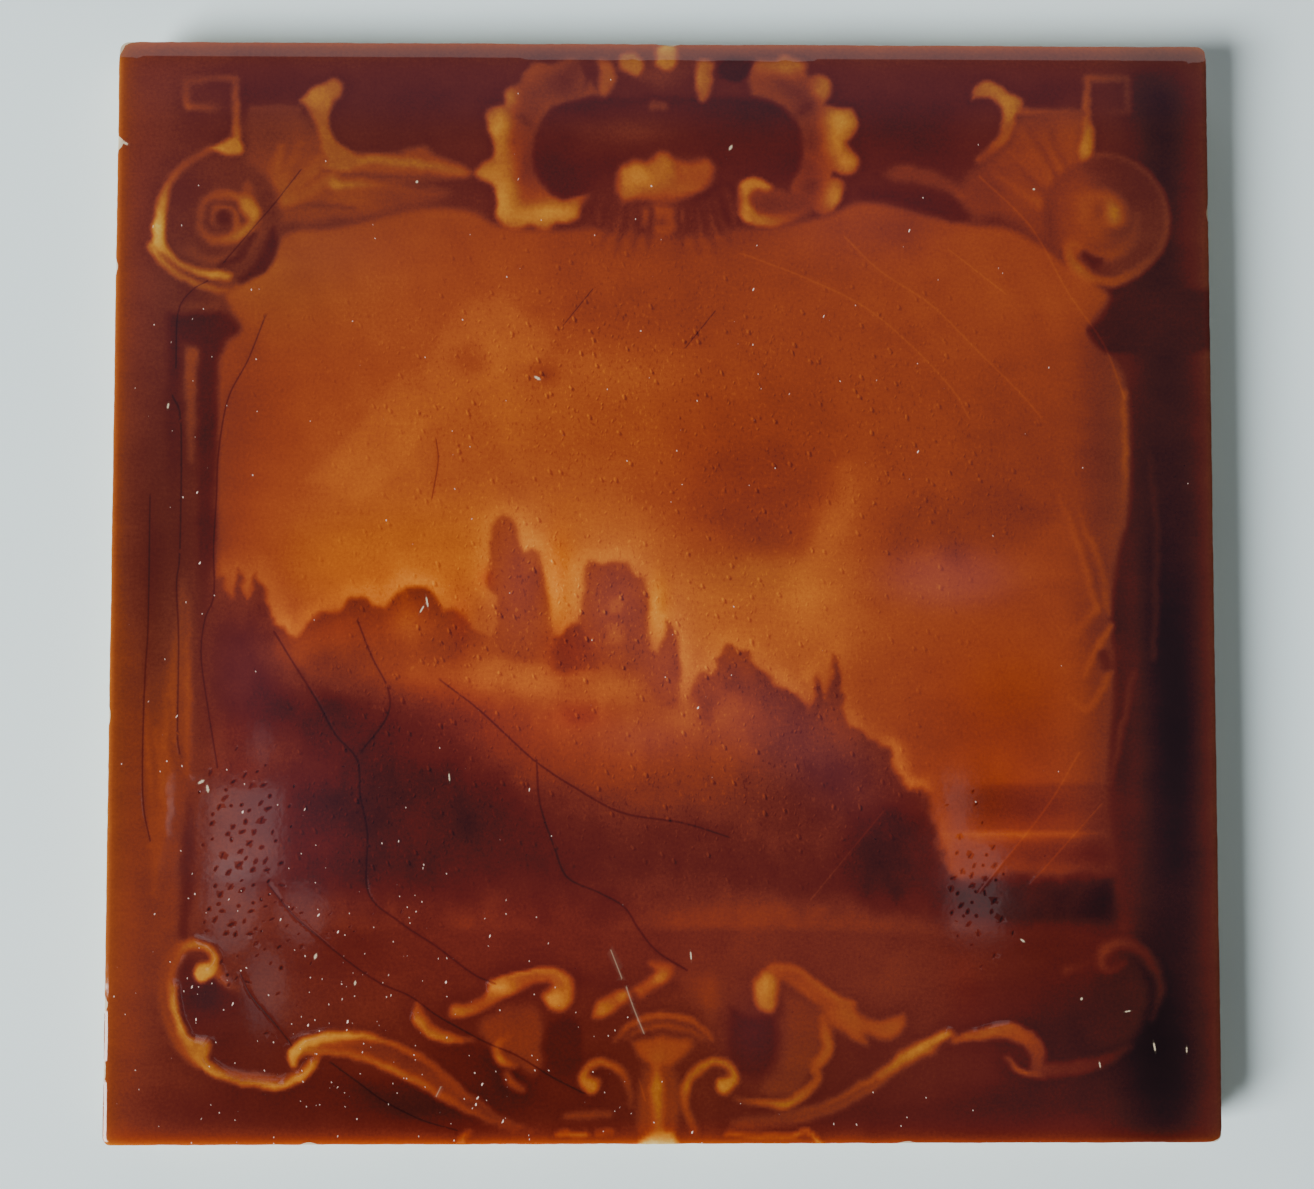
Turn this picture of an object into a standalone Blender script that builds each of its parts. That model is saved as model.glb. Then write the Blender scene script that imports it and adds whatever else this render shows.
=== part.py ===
"""Decorative ceramic tile: a pressed square tile, its face moulded with a landscape in a scrollwork frame.

The tile lies on its back: the rim and ribs of the back stand on z = 0 and the face looks along +Z,
with the top of its picture towards +Y. It is one piece, because the glaze is fused to the clay.
"""

import math

import bmesh
import bpy
import numpy as np
from mathutils import Vector
from mathutils.geometry import delaunay_2d_cdt

# Driving dimensions, in metres
TILE_WIDTH = 0.152
TILE_HEIGHT = 0.152
BODY_THICKNESS = 0.0085
RELIEF_HEIGHT = 0.0010
CORNER_RADIUS = 0.0012
SIDE_DRAFT = 0.0004
FACE_ROUND_WIDTH = 0.0011
FACE_ROUND_DROP = 0.0005

# The back: a flat rim, and ribs between shallow keying grooves that run from top to bottom
BACK_RIM_WIDTH = 0.0065
RIB_COUNT = 13
RIB_WIDTH = 0.0035
GROOVE_DEPTH = 0.0010
GROOVE_WALL_SLOPE = 0.0004

# How finely the solid follows its curves
CORNER_SEGMENTS = 3
SIDE_SEGMENTS = 10
STROKE_TURN = math.radians(18)
STROKE_LONGEST_STEP = 4.5
STROKE_SHORTEST_STEP = 1.0
WIDE_STROKE = 0.85
END_ROUND = 0.7
OUTLINE_STEP = 1.6
FACE_WELD = 0.06
BACK_WELD = 1e-6
SHORTEST_EDGE = 2e-5
SHARP_ANGLE = math.radians(40)

# The carving is drawn on a grid of this many units across the tile and as many up it, with 0, 0 in the
# middle, and its heights are shares of RELIEF_HEIGHT, so it keeps its proportions when the tile changes
GRID = 152.0
LOWEST_FRAME_STEP = -46.5
SKY_LEVEL = 0.42
WOODS_LEVEL = 0.12
SOFT_STEP = 0.45

# Where the face rises and falls softly, so that the solid has corners there too: left, right, foot and
# top of each area, and the distance between corners
SOFT_AREAS = (
    (-58.0, 58.0, -58.0, -8.0, 4.2),
    (40.0, 60.0, -38.0, -30.0, 2.4),
    (-56.0, -47.0, 50.0, 66.0, 3.0),
    (45.0, 60.0, 46.0, 66.0, 3.0),
    (-14.0, 14.0, 60.0, 66.0, 3.0),
    (-30.0, 24.0, -66.0, -57.0, 3.5),
)

GLAZE_COLOUR = (0.36, 0.11, 0.035, 1.0)
GLAZE_ROUGHNESS = 0.12


def smooth_line(points, step):
    """Points along a smooth curve through the given ones, and the place of each among them."""
    given = np.array(points, float)
    ends = np.vstack([2 * given[0] - given[1], given, 2 * given[-1] - given[-2]])
    line, places = [], []
    for index in range(len(given) - 1):
        before, start, end, after = ends[index:index + 4]
        count = max(2, math.ceil(np.linalg.norm(end - start) / step))
        for part in np.arange(count) / count:
            line.append(0.5 * (2 * start + (end - before) * part
                               + (2 * before - 5 * start + 4 * end - after) * part ** 2
                               + (3 * start - before - 3 * end + after) * part ** 3))
            places.append(index + part)
    return np.array(line + [given[-1]]), np.array(places + [len(given) - 1.0])


def straight_line(points, step):
    """Points along straight runs between the given ones, and the place of each among them."""
    given = np.array(points, float)
    line, places = [], []
    for index in range(len(given) - 1):
        run = given[index + 1] - given[index]
        count = max(1, math.ceil(np.linalg.norm(run) / step))
        for part in np.arange(count) / count:
            line.append(given[index] + part * run)
            places.append(index + part)
    return np.array(line + [given[-1]]), np.array(places + [len(given) - 1.0])


def around(centre, turns):
    """Points at the given angles in degrees and radii around a centre, as on a volute."""
    return [(centre[0] + radius * math.cos(math.radians(angle)),
             centre[1] + radius * math.sin(math.radians(angle))) for angle, radius in turns]


def spread(values, places, count):
    """Values given at even shares of a line, read at each of its places."""
    values = np.atleast_1d(np.array(values, float))
    if len(values) == 1:
        return np.full(len(places), values[0])
    return np.interp(places, np.linspace(0.0, count - 1.0, len(values)), values)


class Stroke:
    """One carved ridge or groove: a line with a half width and a height along it, in grid units.

    The profile is round, or a shell whose right-hand edge stands highest and is cut into lobes.
    A height below zero is a groove.
    """

    def __init__(self, points, half, height, square=False, lobes=0):
        make_line = straight_line if square else smooth_line
        self.line, places = make_line(points, 0.7)
        self.half = spread(half, places, len(points))
        self.height = spread(height, places, len(points))
        self.lobes = lobes
        steps = np.linalg.norm(np.diff(self.line, axis=0), axis=1)
        self.length = np.concatenate([[0.0], np.cumsum(steps)])

    def edge_share(self, along):
        """How far the lobed edge stands out at a length along the line, as a share of the half width."""
        if not self.lobes:
            return np.ones_like(along)
        return 0.74 + 0.42 * np.abs(np.sin(math.pi * self.lobes * along / self.length[-1])) ** 0.7

    def profile(self, share):
        """Height across the stroke, where share is -1 at its right-hand edge and 1 at its left."""
        crown = np.clip(1.0 - share * share, 0.0, 1.0)
        if self.lobes:
            return crown ** 0.8 * (0.7 - 0.45 * np.clip(share / 0.8, -1.0, 1.0))
        return crown ** 1.1

    def add_to(self, x, y, raised, sunk):
        """Raise or sink the points that this stroke reaches."""
        reach = 1.2 * self.half.max()
        low, high = self.line.min(axis=0) - reach, self.line.max(axis=0) + reach
        inside = np.nonzero((x > low[0]) & (x < high[0]) & (y > low[1]) & (y < high[1]))[0]
        near = np.full(len(inside), 1e9)
        share, peak = np.ones(len(inside)), np.zeros(len(inside))
        for index in range(len(self.line) - 1):
            start, run = self.line[index], self.line[index + 1] - self.line[index]
            from_x, from_y = x[inside] - start[0], y[inside] - start[1]
            part = np.clip((from_x * run[0] + from_y * run[1]) / (run @ run), 0.0, 1.0)
            off_x, off_y = from_x - part * run[0], from_y - part * run[1]
            distance = np.hypot(off_x, off_y)
            side = np.sign(run[0] * off_y - run[1] * off_x)
            along = self.length[index] + part * (self.length[index + 1] - self.length[index])
            half = self.half[index] + part * (self.half[index + 1] - self.half[index])
            half = np.where(side < 0.0, half * self.edge_share(along), half)
            closer = distance < near
            near = np.where(closer, distance, near)
            share = np.where(closer, side * distance / half, share)
            height = self.height[index] + part * (self.height[index + 1] - self.height[index])
            peak = np.where(closer, height, peak)
        value = peak * self.profile(share)
        raised[inside] = np.maximum(raised[inside], value)
        sunk[inside] = np.minimum(sunk[inside], value)

    def stations(self):
        """Places in the line where the solid has a row of corners: close together only on the curls."""
        longest = STROKE_SHORTEST_STEP if self.lobes else STROKE_LONGEST_STEP
        runs = np.diff(self.line, axis=0)
        headings = np.arctan2(runs[:, 1], runs[:, 0])
        kept = [0]
        for index in range(1, len(runs)):
            turned = abs((headings[index] - headings[kept[-1]] + math.pi) % (2 * math.pi) - math.pi)
            gone = self.length[index] - self.length[kept[-1]]
            if gone >= longest or (gone >= STROKE_SHORTEST_STEP and turned > STROKE_TURN):
                kept.append(index)
        return kept + [len(runs)]

    def plan_lines(self):
        """The lines that the solid follows: the stroke's outline with its round ends, and its crown."""
        kept = self.stations()
        ahead = np.gradient(self.line, axis=0)[kept]
        ahead /= np.linalg.norm(ahead, axis=1)[:, None]
        left = np.stack([-ahead[:, 1], ahead[:, 0]], axis=1)
        half = self.half[kept][:, None]
        right_edge = self.line[kept] - left * half * self.edge_share(self.length[kept])[:, None]
        left_edge = self.line[kept] + left * half
        last_cap = [self.line[-1] + self.half[-1] * (END_ROUND * ahead[-1] + side * left[-1])
                    for side in (-END_ROUND, 0.0, END_ROUND)]
        first_cap = [self.line[0] + self.half[0] * (side * left[0] - END_ROUND * ahead[0])
                     for side in (END_ROUND, 0.0, -END_ROUND)]
        last_cap[1] += self.half[-1] * (1.0 - END_ROUND) * ahead[-1]
        first_cap[1] -= self.half[0] * (1.0 - END_ROUND) * ahead[0]
        yield np.concatenate([right_edge, last_cap, left_edge[::-1], first_cap]), True
        for share in ((-0.5, 0.5) if self.half.max() > WIDE_STROKE else (0.0,)):
            yield self.line[kept] + share * left * half, False


def upper_left_corner():
    """A volute with a square fret above it, and a leaf that runs towards the middle."""
    rim = around((-62.0, 51.2), [(70, 9.4), (120, 9.3), (180, 8.3), (225, 8.5), (262, 8.8), (285, 8.1)])
    coil = around((-61.6, 51.0), [(222, 7.4), (262, 6.6), (312, 5.8), (360, 5.5), (405, 4.4),
                                  (460, 3.0), (540, 2.4), (620, 2.4), (700, 1.7)])
    leaf = [(-44.3, 68.3), (-45.0, 69.7), (-47.1, 69.5), (-48.2, 66.8), (-47.2, 63.6),
            (-45.0, 60.9), (-41.0, 59.2), (-35.0, 58.3), (-30.0, 57.6), (-26.6, 57.3)]
    yield Stroke(rim, [0.6, 0.8, 1.1, 1.4, 1.2, 0.6], [0.45, 0.6, 0.85, 0.9, 0.9, 0.8])
    yield Stroke(coil, [0.5, 0.9, 1.0, 1.6, 0.9, 0.8, 0.8, 0.8, 0.5], [0.5, 0.6, 0.8, 0.5, 0.6, 0.5])
    yield Stroke([(-65.4, 66.2), (-65.4, 70.2), (-59.1, 70.2), (-59.1, 60.4)], 0.6, [0.4, 0.4, 0.5, 0.75],
                 square=True)
    yield Stroke([(-65.0, 66.4), (-60.2, 66.4)], 0.4, 0.3, square=True)
    yield Stroke([(-62.6, 60.3), (-60.2, 60.7), (-58.6, 60.0)], [0.4, 1.0, 0.6], 0.8)
    yield Stroke(leaf, [0.7, 0.9, 1.5, 1.4, 1.0, 0.8, 0.9, 0.9, 0.7, 0.6],
                 [0.5, 0.7, 0.85, 0.8, 0.6, 0.55, 0.55, 0.7, 0.6, 0.7])
    yield Stroke([(-50.4, 67.3), (-49.2, 68.0), (-47.6, 69.2)], [0.4, 0.9, 0.8], 0.8)
    yield Stroke([(-57.4, 66.2), (-50.6, 66.2)], 0.45, 0.25, square=True)
    yield Stroke([(-47.8, 54.6), (-45.8, 56.0), (-43.4, 55.3), (-38.4, 54.8)], [0.5, 1.1, 0.7, 0.3], 0.6)
    for tip_x, tip_y in ((-54.0, 60.5), (-51.6, 61.0), (-49.0, 59.5), (-46.8, 56.6)):
        middle = ((tip_x - 55.5) / 2 + 0.3, (tip_y + 50.4) / 2 - 0.3)
        yield Stroke([(-55.5, 50.4), middle, (tip_x, tip_y)], [0.3, 0.6, 0.3], 0.34)


def upper_right_corner():
    """The same figures facing the other way, with a fuller volute."""
    rim = around((62.0, 51.4), [(110, 9.2), (60, 9.4), (0, 8.4), (-45, 8.6), (-85, 8.8), (-115, 8.1),
                                (-140, 6.4)])
    leaf = [(43.6, 68.3), (44.6, 69.6), (46.4, 69.0), (47.6, 67.2), (47.2, 64.8), (46.0, 62.6), (44.4, 60.8)]
    yield Stroke(rim, [0.5, 0.8, 1.0, 1.1, 1.1, 1.1, 0.5], [0.35, 0.25, 0.25, 0.3, 0.5, 0.7, 0.6])
    yield Stroke([(58.2, 53.4), (60.8, 54.3), (63.0, 53.4), (63.9, 51.4), (62.4, 50.2)],
                 [0.9, 1.3, 1.6, 1.2, 0.5], [0.6, 0.75, 0.8, 0.7, 0.5])
    yield Stroke([(59.4, 49.6), (60.9, 47.0), (62.4, 45.4)], [0.4, 0.7, 0.4], 0.45)
    yield Stroke([(64.6, 66.5), (64.6, 71.0), (59.5, 71.0), (59.5, 60.6)], 0.6, [0.3, 0.3, 0.45, 0.7],
                 square=True)
    yield Stroke([(64.3, 66.4), (60.4, 66.4)], 0.4, 0.25, square=True)
    yield Stroke([(57.2, 60.0), (59.0, 60.6), (60.4, 61.2)], [0.6, 1.1, 0.4], 0.75)
    yield Stroke(leaf, [0.6, 0.9, 1.3, 1.5, 1.0, 0.7, 0.4], [0.6, 0.85, 0.9, 0.85, 0.6, 0.45, 0.4])
    yield Stroke([(46.8, 69.2), (48.6, 68.0), (50.2, 67.4)], [0.8, 0.8, 0.4], 0.7)
    yield Stroke([(50.4, 66.3), (58.8, 66.2)], 0.45, 0.45, square=True)
    yield Stroke([(31.8, 57.6), (35.0, 57.6), (38.6, 57.8), (42.5, 57.0)], [0.4, 0.7, 0.7, 0.4], 0.4)
    for tip_x, tip_y in ((46.0, 62.0), (50.0, 62.0), (53.6, 61.6), (42.0, 58.0)):
        middle = ((tip_x + 57.0) / 2 + 0.8, (tip_y + 47.8) / 2)
        yield Stroke([(57.0, 47.8), middle, (tip_x, tip_y)], [0.3, 0.7, 0.3], 0.38)


def cartouche():
    """Two lobed shells round a dark oval at the middle of the top, with a crest and a fan between."""
    left_shell = [(-8.7, 69.2), (-9.4, 71.5), (-13.0, 71.4), (-17.2, 70.1), (-20.0, 67.2), (-21.6, 63.6),
                  (-22.0, 60.2), (-21.9, 56.8), (-20.4, 53.6), (-17.2, 51.9), (-13.6, 51.9), (-9.6, 54.0)]
    right_shell = [(21.2, 52.8), (23.0, 56.0), (23.7, 59.4), (23.4, 62.6), (22.0, 66.2), (19.4, 69.4),
                   (15.8, 71.4), (12.2, 71.2)]
    shell_curl = [(20.6, 52.2), (18.5, 50.9), (15.2, 50.5), (12.3, 51.5), (11.1, 53.6), (11.9, 55.5),
                  (13.6, 55.8), (14.8, 55.0)]
    yield Stroke(left_shell, [0.7, 1.3, 1.8, 2.2, 2.4, 2.5, 2.4, 2.7, 2.6, 2.1, 1.6, 0.5],
                 [0.5, 0.55, 0.5, 0.6, 0.85, 0.95, 0.85, 0.95, 0.95, 0.95, 0.85, 0.6], lobes=11)
    yield Stroke(right_shell, [0.9, 2.1, 2.6, 2.6, 2.4, 2.1, 1.8, 0.7],
                 [0.85, 0.85, 0.9, 0.9, 0.85, 0.8, 0.75, 0.3], lobes=5)
    yield Stroke(shell_curl, [0.4, 0.5, 0.9, 1.2, 1.2, 1.0, 0.7, 0.4], [0.4, 0.7, 0.85, 0.8, 0.5])
    yield Stroke([(-6.2, 71.2), (-3.0, 71.5), (0.0, 71.6), (2.6, 71.3)], [0.5, 0.9, 1.0, 0.5], 0.6)
    yield Stroke([(-4.9, 71.6), (-4.6, 73.4)], [1.2, 1.0], 0.8, square=True)
    yield Stroke([(0.1, 72.0), (0.3, 73.8)], [1.1, 1.0], 0.8, square=True)
    yield Stroke([(7.4, 72.8), (5.9, 73.0), (5.0, 71.2), (5.3, 69.3), (6.4, 67.8), (7.8, 67.3)],
                 [0.4, 0.9, 1.1, 1.0, 0.7, 0.3], [0.5, 0.75, 0.75, 0.4])
    yield Stroke([(-1.6, 66.8), (0.0, 66.8)], 0.8, 0.4, square=True)
    for tip_x, tip_y, half, height in ((-5.0, 57.0, 1.5, 0.8), (-2.6, 57.0, 1.5, 0.85), (0.1, 58.8, 1.3, 0.8),
                                       (3.2, 57.6, 1.4, 0.65), (6.2, 57.8, 1.2, 0.6)):
        middle = ((tip_x + 0.6) / 2, (tip_y + 53.0) / 2 - 0.2)
        yield Stroke([(0.6, 53.0), middle, (tip_x, tip_y)], [0.8, 1.3, half], [0.5, height])
    yield Stroke([(-2.4, 51.4), (-0.4, 51.0), (1.8, 51.6)], [0.5, 0.9, 0.5], 0.5)
    for lean in (-31, -25, -18, -12, -7, 7, 12, 18, 25, 31):
        reed = around((0.0, 63.0), [(270 + lean, 10.0), (270 + 0.92 * lean, 13.5), (270 + 0.8 * lean, 17.2)])
        yield Stroke(reed, [0.3, 0.55, 0.2], -0.25)


def lower_left_corner():
    """A C-scroll whose foot meets a long band that sinks towards the middle."""
    scroll = [(-62.3, -53.0), (-60.9, -51.4), (-61.6, -49.6), (-64.2, -48.8), (-66.6, -50.6), (-67.5, -54.4),
              (-66.8, -58.8), (-64.6, -62.9), (-61.0, -65.7), (-56.0, -67.2), (-51.6, -66.8), (-48.2, -65.2),
              (-46.9, -63.8)]
    band = [(-50.3, -65.3), (-50.5, -63.3), (-48.4, -61.7), (-44.0, -61.5), (-39.5, -62.4), (-34.5, -64.9),
            (-29.5, -68.3), (-24.0, -71.2), (-17.5, -73.6)]
    yield Stroke(scroll, [1.3, 0.9, 0.75, 0.75, 1.0, 1.2, 1.1, 1.1, 1.0, 1.0, 0.9, 0.8, 0.4],
                 [0.95, 0.65, 0.5, 0.65, 0.85, 0.85, 0.6])
    yield Stroke([(-62.7, -53.0), (-61.9, -52.9)], 1.35, 0.95, square=True)
    yield Stroke([(-65.0, -60.6), (-62.9, -61.8), (-61.8, -63.6)], [0.3, 0.7, 0.3], 0.7)
    yield Stroke(band, [0.5, 0.9, 1.2, 1.5, 1.6, 1.7, 1.6, 1.3, 0.6],
                 [0.75, 0.85, 0.9, 0.8, 0.7, 0.6, 0.5, 0.4, 0.3])
    yield Stroke([(-44.5, -61.7), (-39.5, -62.5), (-34.5, -65.0), (-29.5, -68.4), (-24.5, -71.0)],
                 [0.2, 0.6, 0.7, 0.6, 0.2], -0.2)
    yield Stroke([(-61.0, -52.4), (-59.4, -54.2), (-57.0, -54.9)], [0.7, 0.5, 0.2], 0.3)


def lower_right_corner():
    """A band that rises from the middle, breaks at a bright step and ends in a C-scroll."""
    rising = [(9.0, -73.3), (15.0, -72.8), (20.5, -71.6), (25.5, -69.4), (29.6, -66.8), (33.6, -64.0),
              (36.8, -62.3), (38.5, -61.4)]
    outer = [(38.4, -61.3), (41.0, -61.7), (44.5, -60.9), (48.0, -60.7), (50.8, -62.0), (51.3, -64.2),
             (49.4, -65.7), (47.2, -65.0)]
    scroll = [(47.0, -65.4), (50.5, -66.7), (55.0, -66.4), (59.6, -65.2), (63.3, -62.2), (65.8, -58.2),
              (66.3, -54.0), (64.7, -50.4), (62.0, -49.3), (60.1, -50.8), (61.4, -52.7)]
    yield Stroke(rising, [0.4, 0.8, 1.0, 1.2, 1.4, 1.6, 1.6, 0.9], [0.3, 0.35, 0.45, 0.5, 0.7, 0.85, 0.95])
    yield Stroke(outer, [0.7, 0.7, 0.8, 0.9, 1.0, 0.9, 0.6, 0.4], [0.8, 0.65, 0.6, 0.4, 0.4])
    yield Stroke(scroll, [0.4, 0.8, 0.9, 1.0, 1.1, 1.2, 1.2, 1.0, 0.9, 0.9, 0.5], [0.45, 0.4, 0.3, 0.3, 0.45])


def lower_middle():
    """Two acanthus leaves, a crest and a palmette on a stem between two volutes."""
    left_leaf = [(-14.4, -56.5), (-13.3, -54.8), (-14.9, -53.3), (-18.0, -53.2), (-21.5, -54.6),
                 (-23.6, -55.8), (-25.6, -57.5), (-28.6, -58.0)]
    right_leaf = [(13.9, -56.6), (12.9, -54.8), (14.6, -53.2), (17.8, -53.5), (21.4, -55.7), (25.2, -58.2),
                  (28.6, -60.1), (32.0, -60.0)]
    left_volute = [(-9.6, -68.2), (-10.7, -67.0), (-9.6, -65.5), (-7.2, -65.3), (-5.2, -67.0), (-4.4, -70.0),
                   (-4.8, -73.2)]
    right_volute = [(8.5, -68.2), (9.7, -67.0), (8.7, -65.4), (6.2, -65.2), (3.9, -67.2), (2.9, -70.2),
                    (3.2, -73.0), (4.8, -74.4)]
    right_side = [(21.8, -59.6), (22.2, -62.6), (21.0, -64.8), (20.7, -67.4), (18.4, -69.8), (14.8, -70.8),
                  (10.6, -70.6)]
    yield Stroke(left_leaf, [1.6, 1.1, 0.9, 0.9, 1.2, 1.3, 1.1, 0.6], [0.95, 0.85, 0.85, 0.95, 0.75])
    yield Stroke([(-14.7, -56.4), (-13.9, -56.2)], 1.7, 0.95, square=True)
    yield Stroke([(-33.4, -57.2), (-33.3, -59.6), (-31.6, -61.2), (-28.4, -61.9), (-25.2, -62.1)],
                 [0.4, 0.9, 0.9, 0.7, 0.3], [0.6, 0.8, 0.5])
    yield Stroke([(-21.4, -61.0), (-22.6, -63.2), (-22.0, -65.2), (-20.5, -67.0), (-19.0, -68.5)],
                 [0.4, 1.0, 1.2, 1.0, 0.5], [0.4, 0.65, 0.45])
    yield Stroke(right_leaf, [1.6, 1.3, 1.1, 1.2, 1.5, 1.7, 1.2, 0.7], [0.85, 0.55, 0.6, 0.65, 0.6])
    yield Stroke([(13.4, -56.0), (14.2, -55.8)], 1.6, 0.9, square=True)
    yield Stroke([(24.6, -58.4), (26.8, -60.6), (28.0, -62.0)], [1.1, 1.0, 0.4], 0.55)
    yield Stroke(right_side, [0.5, 1.1, 1.0, 0.9, 1.0, 0.8, 0.3], [0.5, 0.5, 0.65, 0.4])
    yield Stroke([(-9.6, -58.2), (-7.4, -57.5), (-4.6, -56.3), (-2.0, -54.6), (-0.2, -52.6)],
                 [0.5, 1.1, 1.3, 1.1, 0.8], [0.7, 0.8, 0.7])
    yield Stroke([(0.6, -53.0), (3.4, -53.6), (6.2, -54.2), (7.6, -56.6), (8.2, -59.0)],
                 [0.6, 0.9, 1.1, 1.0, 0.4], 0.42)
    yield Stroke(around((-0.3, -65.6), [(angle, 6.9) for angle in (150, 120, 90, 60, 32)]),
                 [0.4, 0.6, 0.6, 0.6, 0.4], 0.55)
    for tip_x in (-4.0, -2.0, 0.1, 2.2, 4.2):
        yield Stroke([(-0.5, -66.6), ((tip_x - 0.5) / 2, -64.0), (tip_x, -62.3)], [0.6, 0.8, 0.8], 0.52)
    yield Stroke([(-0.8, -65.8), (-0.9, -70.0), (-0.8, -74.0)], [1.0, 1.0, 1.2], [0.55, 0.65, 0.7])
    yield Stroke([(-2.4, -74.1), (1.0, -74.1)], 0.8, 0.9, square=True)
    yield Stroke(left_volute, [0.9, 0.8, 0.9, 0.9, 0.8, 0.7, 0.3], [0.7, 0.6, 0.4, 0.3])
    yield Stroke(right_volute, [1.2, 0.9, 0.9, 0.9, 0.9, 0.9, 0.8, 0.3], [0.75, 0.6, 0.55, 0.5])
    yield Stroke([(-15.0, -74.0), (-11.0, -74.2)], 0.5, 0.6, square=True)
    yield Stroke([(-8.6, -74.3), (-6.8, -74.0)], 0.45, 0.6, square=True)
    yield Stroke([(-13.2, -72.4), (-10.0, -71.6), (-7.2, -71.8)], [0.3, 0.5, 0.3], 0.4)
    yield Stroke([(8.0, -74.3), (20.8, -74.1)], 0.5, 0.6, square=True)


def side_columns():
    """A fluted column on each side, reeds low on the left one and leaf strokes on the right one."""
    for capital_x in (-65.6, 66.6):
        yield Stroke([(capital_x - 4.2, 38.3), (capital_x + 4.2, 38.3)], 0.6, 0.2, square=True)
    yield Stroke([(-65.2, 33.0), (-65.2, -26.0)], 0.6, 0.3, square=True)
    yield Stroke([(-62.4, 32.0), (-62.5, -44.0)], [0.5, 0.7], 0.34, square=True)
    yield Stroke([(-68.7, 36.0), (-68.5, -44.0)], [0.6, 0.9], [0.12, 0.35], square=True)
    for head_x, foot_x in ((-66.9, -70.2), (-66.6, -67.6), (-65.4, -64.9)):
        middle = ((head_x + foot_x) / 2, -24.0)
        yield Stroke([(head_x, -6.0), middle, (foot_x, -43.0)], [0.3, 0.8, 0.3], 0.42)
    for flute_x in (66.8, 70.4):
        yield Stroke([(flute_x, 32.0), (flute_x, -46.0)], 0.7, 0.1, square=True)
    yield Stroke([(54.6, 12.4), (57.6, 6.8), (60.4, 0.2)], 0.5, 0.6)
    yield Stroke([(61.4, -6.2), (58.8, -3.4), (59.4, 0.6)], 0.5, 0.6)
    yield Stroke([(61.6, -6.4), (59.2, -9.8), (56.4, -13.4)], 0.5, 0.6)
    yield Stroke([(61.8, -10.4), (60.0, -15.2), (57.2, -18.4), (55.8, -16.2)], [0.3, 0.6, 0.5, 0.2], 0.55)
    yield Stroke([(65.0, -11.0), (62.8, -20.0), (61.0, -27.0)], 0.5, 0.3)


def frame_line():
    """The inner edge of the frame, from the foot of the right column round to that of the left one."""
    right = [(61.5, -47.0), (61.8, -38.0), (61.2, -25.0), (62.0, -10.0), (61.8, -4.0), (63.2, 6.0),
             (63.6, 20.0), (63.0, 31.0), (60.4, 32.7), (58.8, 35.3), (59.8, 37.6), (61.5, 40.8)]
    top = [(57.4, 43.8), (54.0, 46.6), (48.0, 49.8), (43.0, 50.2), (37.0, 51.4), (32.0, 52.8), (27.0, 53.2),
           (20.8, 50.8), (15.0, 49.4), (9.6, 49.6), (6.0, 46.9), (0.0, 45.5), (-6.0, 46.9), (-9.6, 49.4),
           (-15.5, 49.2), (-23.0, 49.9), (-27.0, 51.8), (-34.0, 52.2), (-40.0, 50.8), (-46.0, 49.0)]
    left = [(-51.5, 48.9), (-54.3, 46.5), (-57.6, 42.4), (-59.4, 39.2), (-58.4, 35.8), (-60.6, 32.4),
            (-61.4, 25.0), (-61.4, 5.0), (-61.8, -20.0), (-61.6, -47.0)]
    return smooth_line(right + top + left, OUTLINE_STEP)[0]


def tree_tops(points, lobes):
    """A line of round tree tops along the given points, from left to right."""
    line, places = smooth_line(points, OUTLINE_STEP / 2)
    share = places / places[-1]
    line[:, 1] += 0.8 * np.abs(np.sin(math.pi * lobes * share)) - 0.4
    return [tuple(point) for point in line]


def battlements(left_x, right_x, top_y, fallen):
    """The broken top of a tower: teeth of even width that have fallen away towards one side."""
    teeth = 5
    width = (right_x - left_x) / teeth
    points = []
    for tooth in range(teeth):
        start = left_x + tooth * width
        level = top_y - fallen * tooth / teeth - (0.9 if tooth % 2 else 0.0)
        points += [(start + 0.1, level), (start + width - 0.1, level)]
    return points


def skyline():
    """The top of the woods and ruins from left to right, ruined towers between round tree tops."""
    woods_left = tree_tops([(-62.5, -1.0), (-58.5, 1.0), (-56.0, 0.8), (-52.5, -5.0), (-50.0, -5.6),
                            (-46.0, -3.0), (-41.0, -1.8), (-36.0, -0.4), (-32.0, -1.2), (-28.0, -3.6)], 11)
    tall_tower = [(-25.2, -4.8), (-24.6, 1.4)] + battlements(-23.7, -20.0, 9.4, 1.6) \
        + battlements(-19.8, -16.2, 5.4, 2.6) + [(-15.7, -5.0)]
    low_tower = [(-13.6, -5.6), (-11.2, -5.0)] + battlements(-10.9, -4.6, 3.2, 0.8) \
        + [(-3.0, -0.2), (-2.4, -5.6), (-0.8, -5.2), (1.6, -9.6), (2.2, -15.2)]
    woods_right = tree_tops([(3.6, -13.6), (6.0, -11.6), (9.4, -8.8), (13.0, -11.2), (17.0, -14.0),
                             (20.5, -16.2), (22.2, -16.0)], 5)
    poplar = [(23.2, -13.6), (24.0, -9.8), (24.9, -14.6)]
    shore = tree_tops([(26.2, -17.2), (29.5, -20.0), (32.6, -26.6), (36.4, -28.8), (39.4, -35.6),
                       (44.0, -38.4), (52.0, -39.4), (62.5, -39.8)], 9)
    return np.array(woods_left + tall_tower + low_tower + woods_right + poplar + shore)


def land_outline():
    """A closed line round all that lies under the skyline."""
    return np.concatenate([skyline(), [(63.0, -60.0), (-63.0, -60.0)]])


def ramp(value, low, high):
    """A smooth step from 0 at low to 1 at high."""
    share = np.clip((value - low) / (high - low), 0.0, 1.0)
    return share * share * (3.0 - 2.0 * share)


def hump(x, y, centre, size):
    """A soft round rise, 1 at its centre."""
    return np.exp(-((x - centre[0]) / size[0]) ** 2 - ((y - centre[1]) / size[1]) ** 2)


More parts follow.
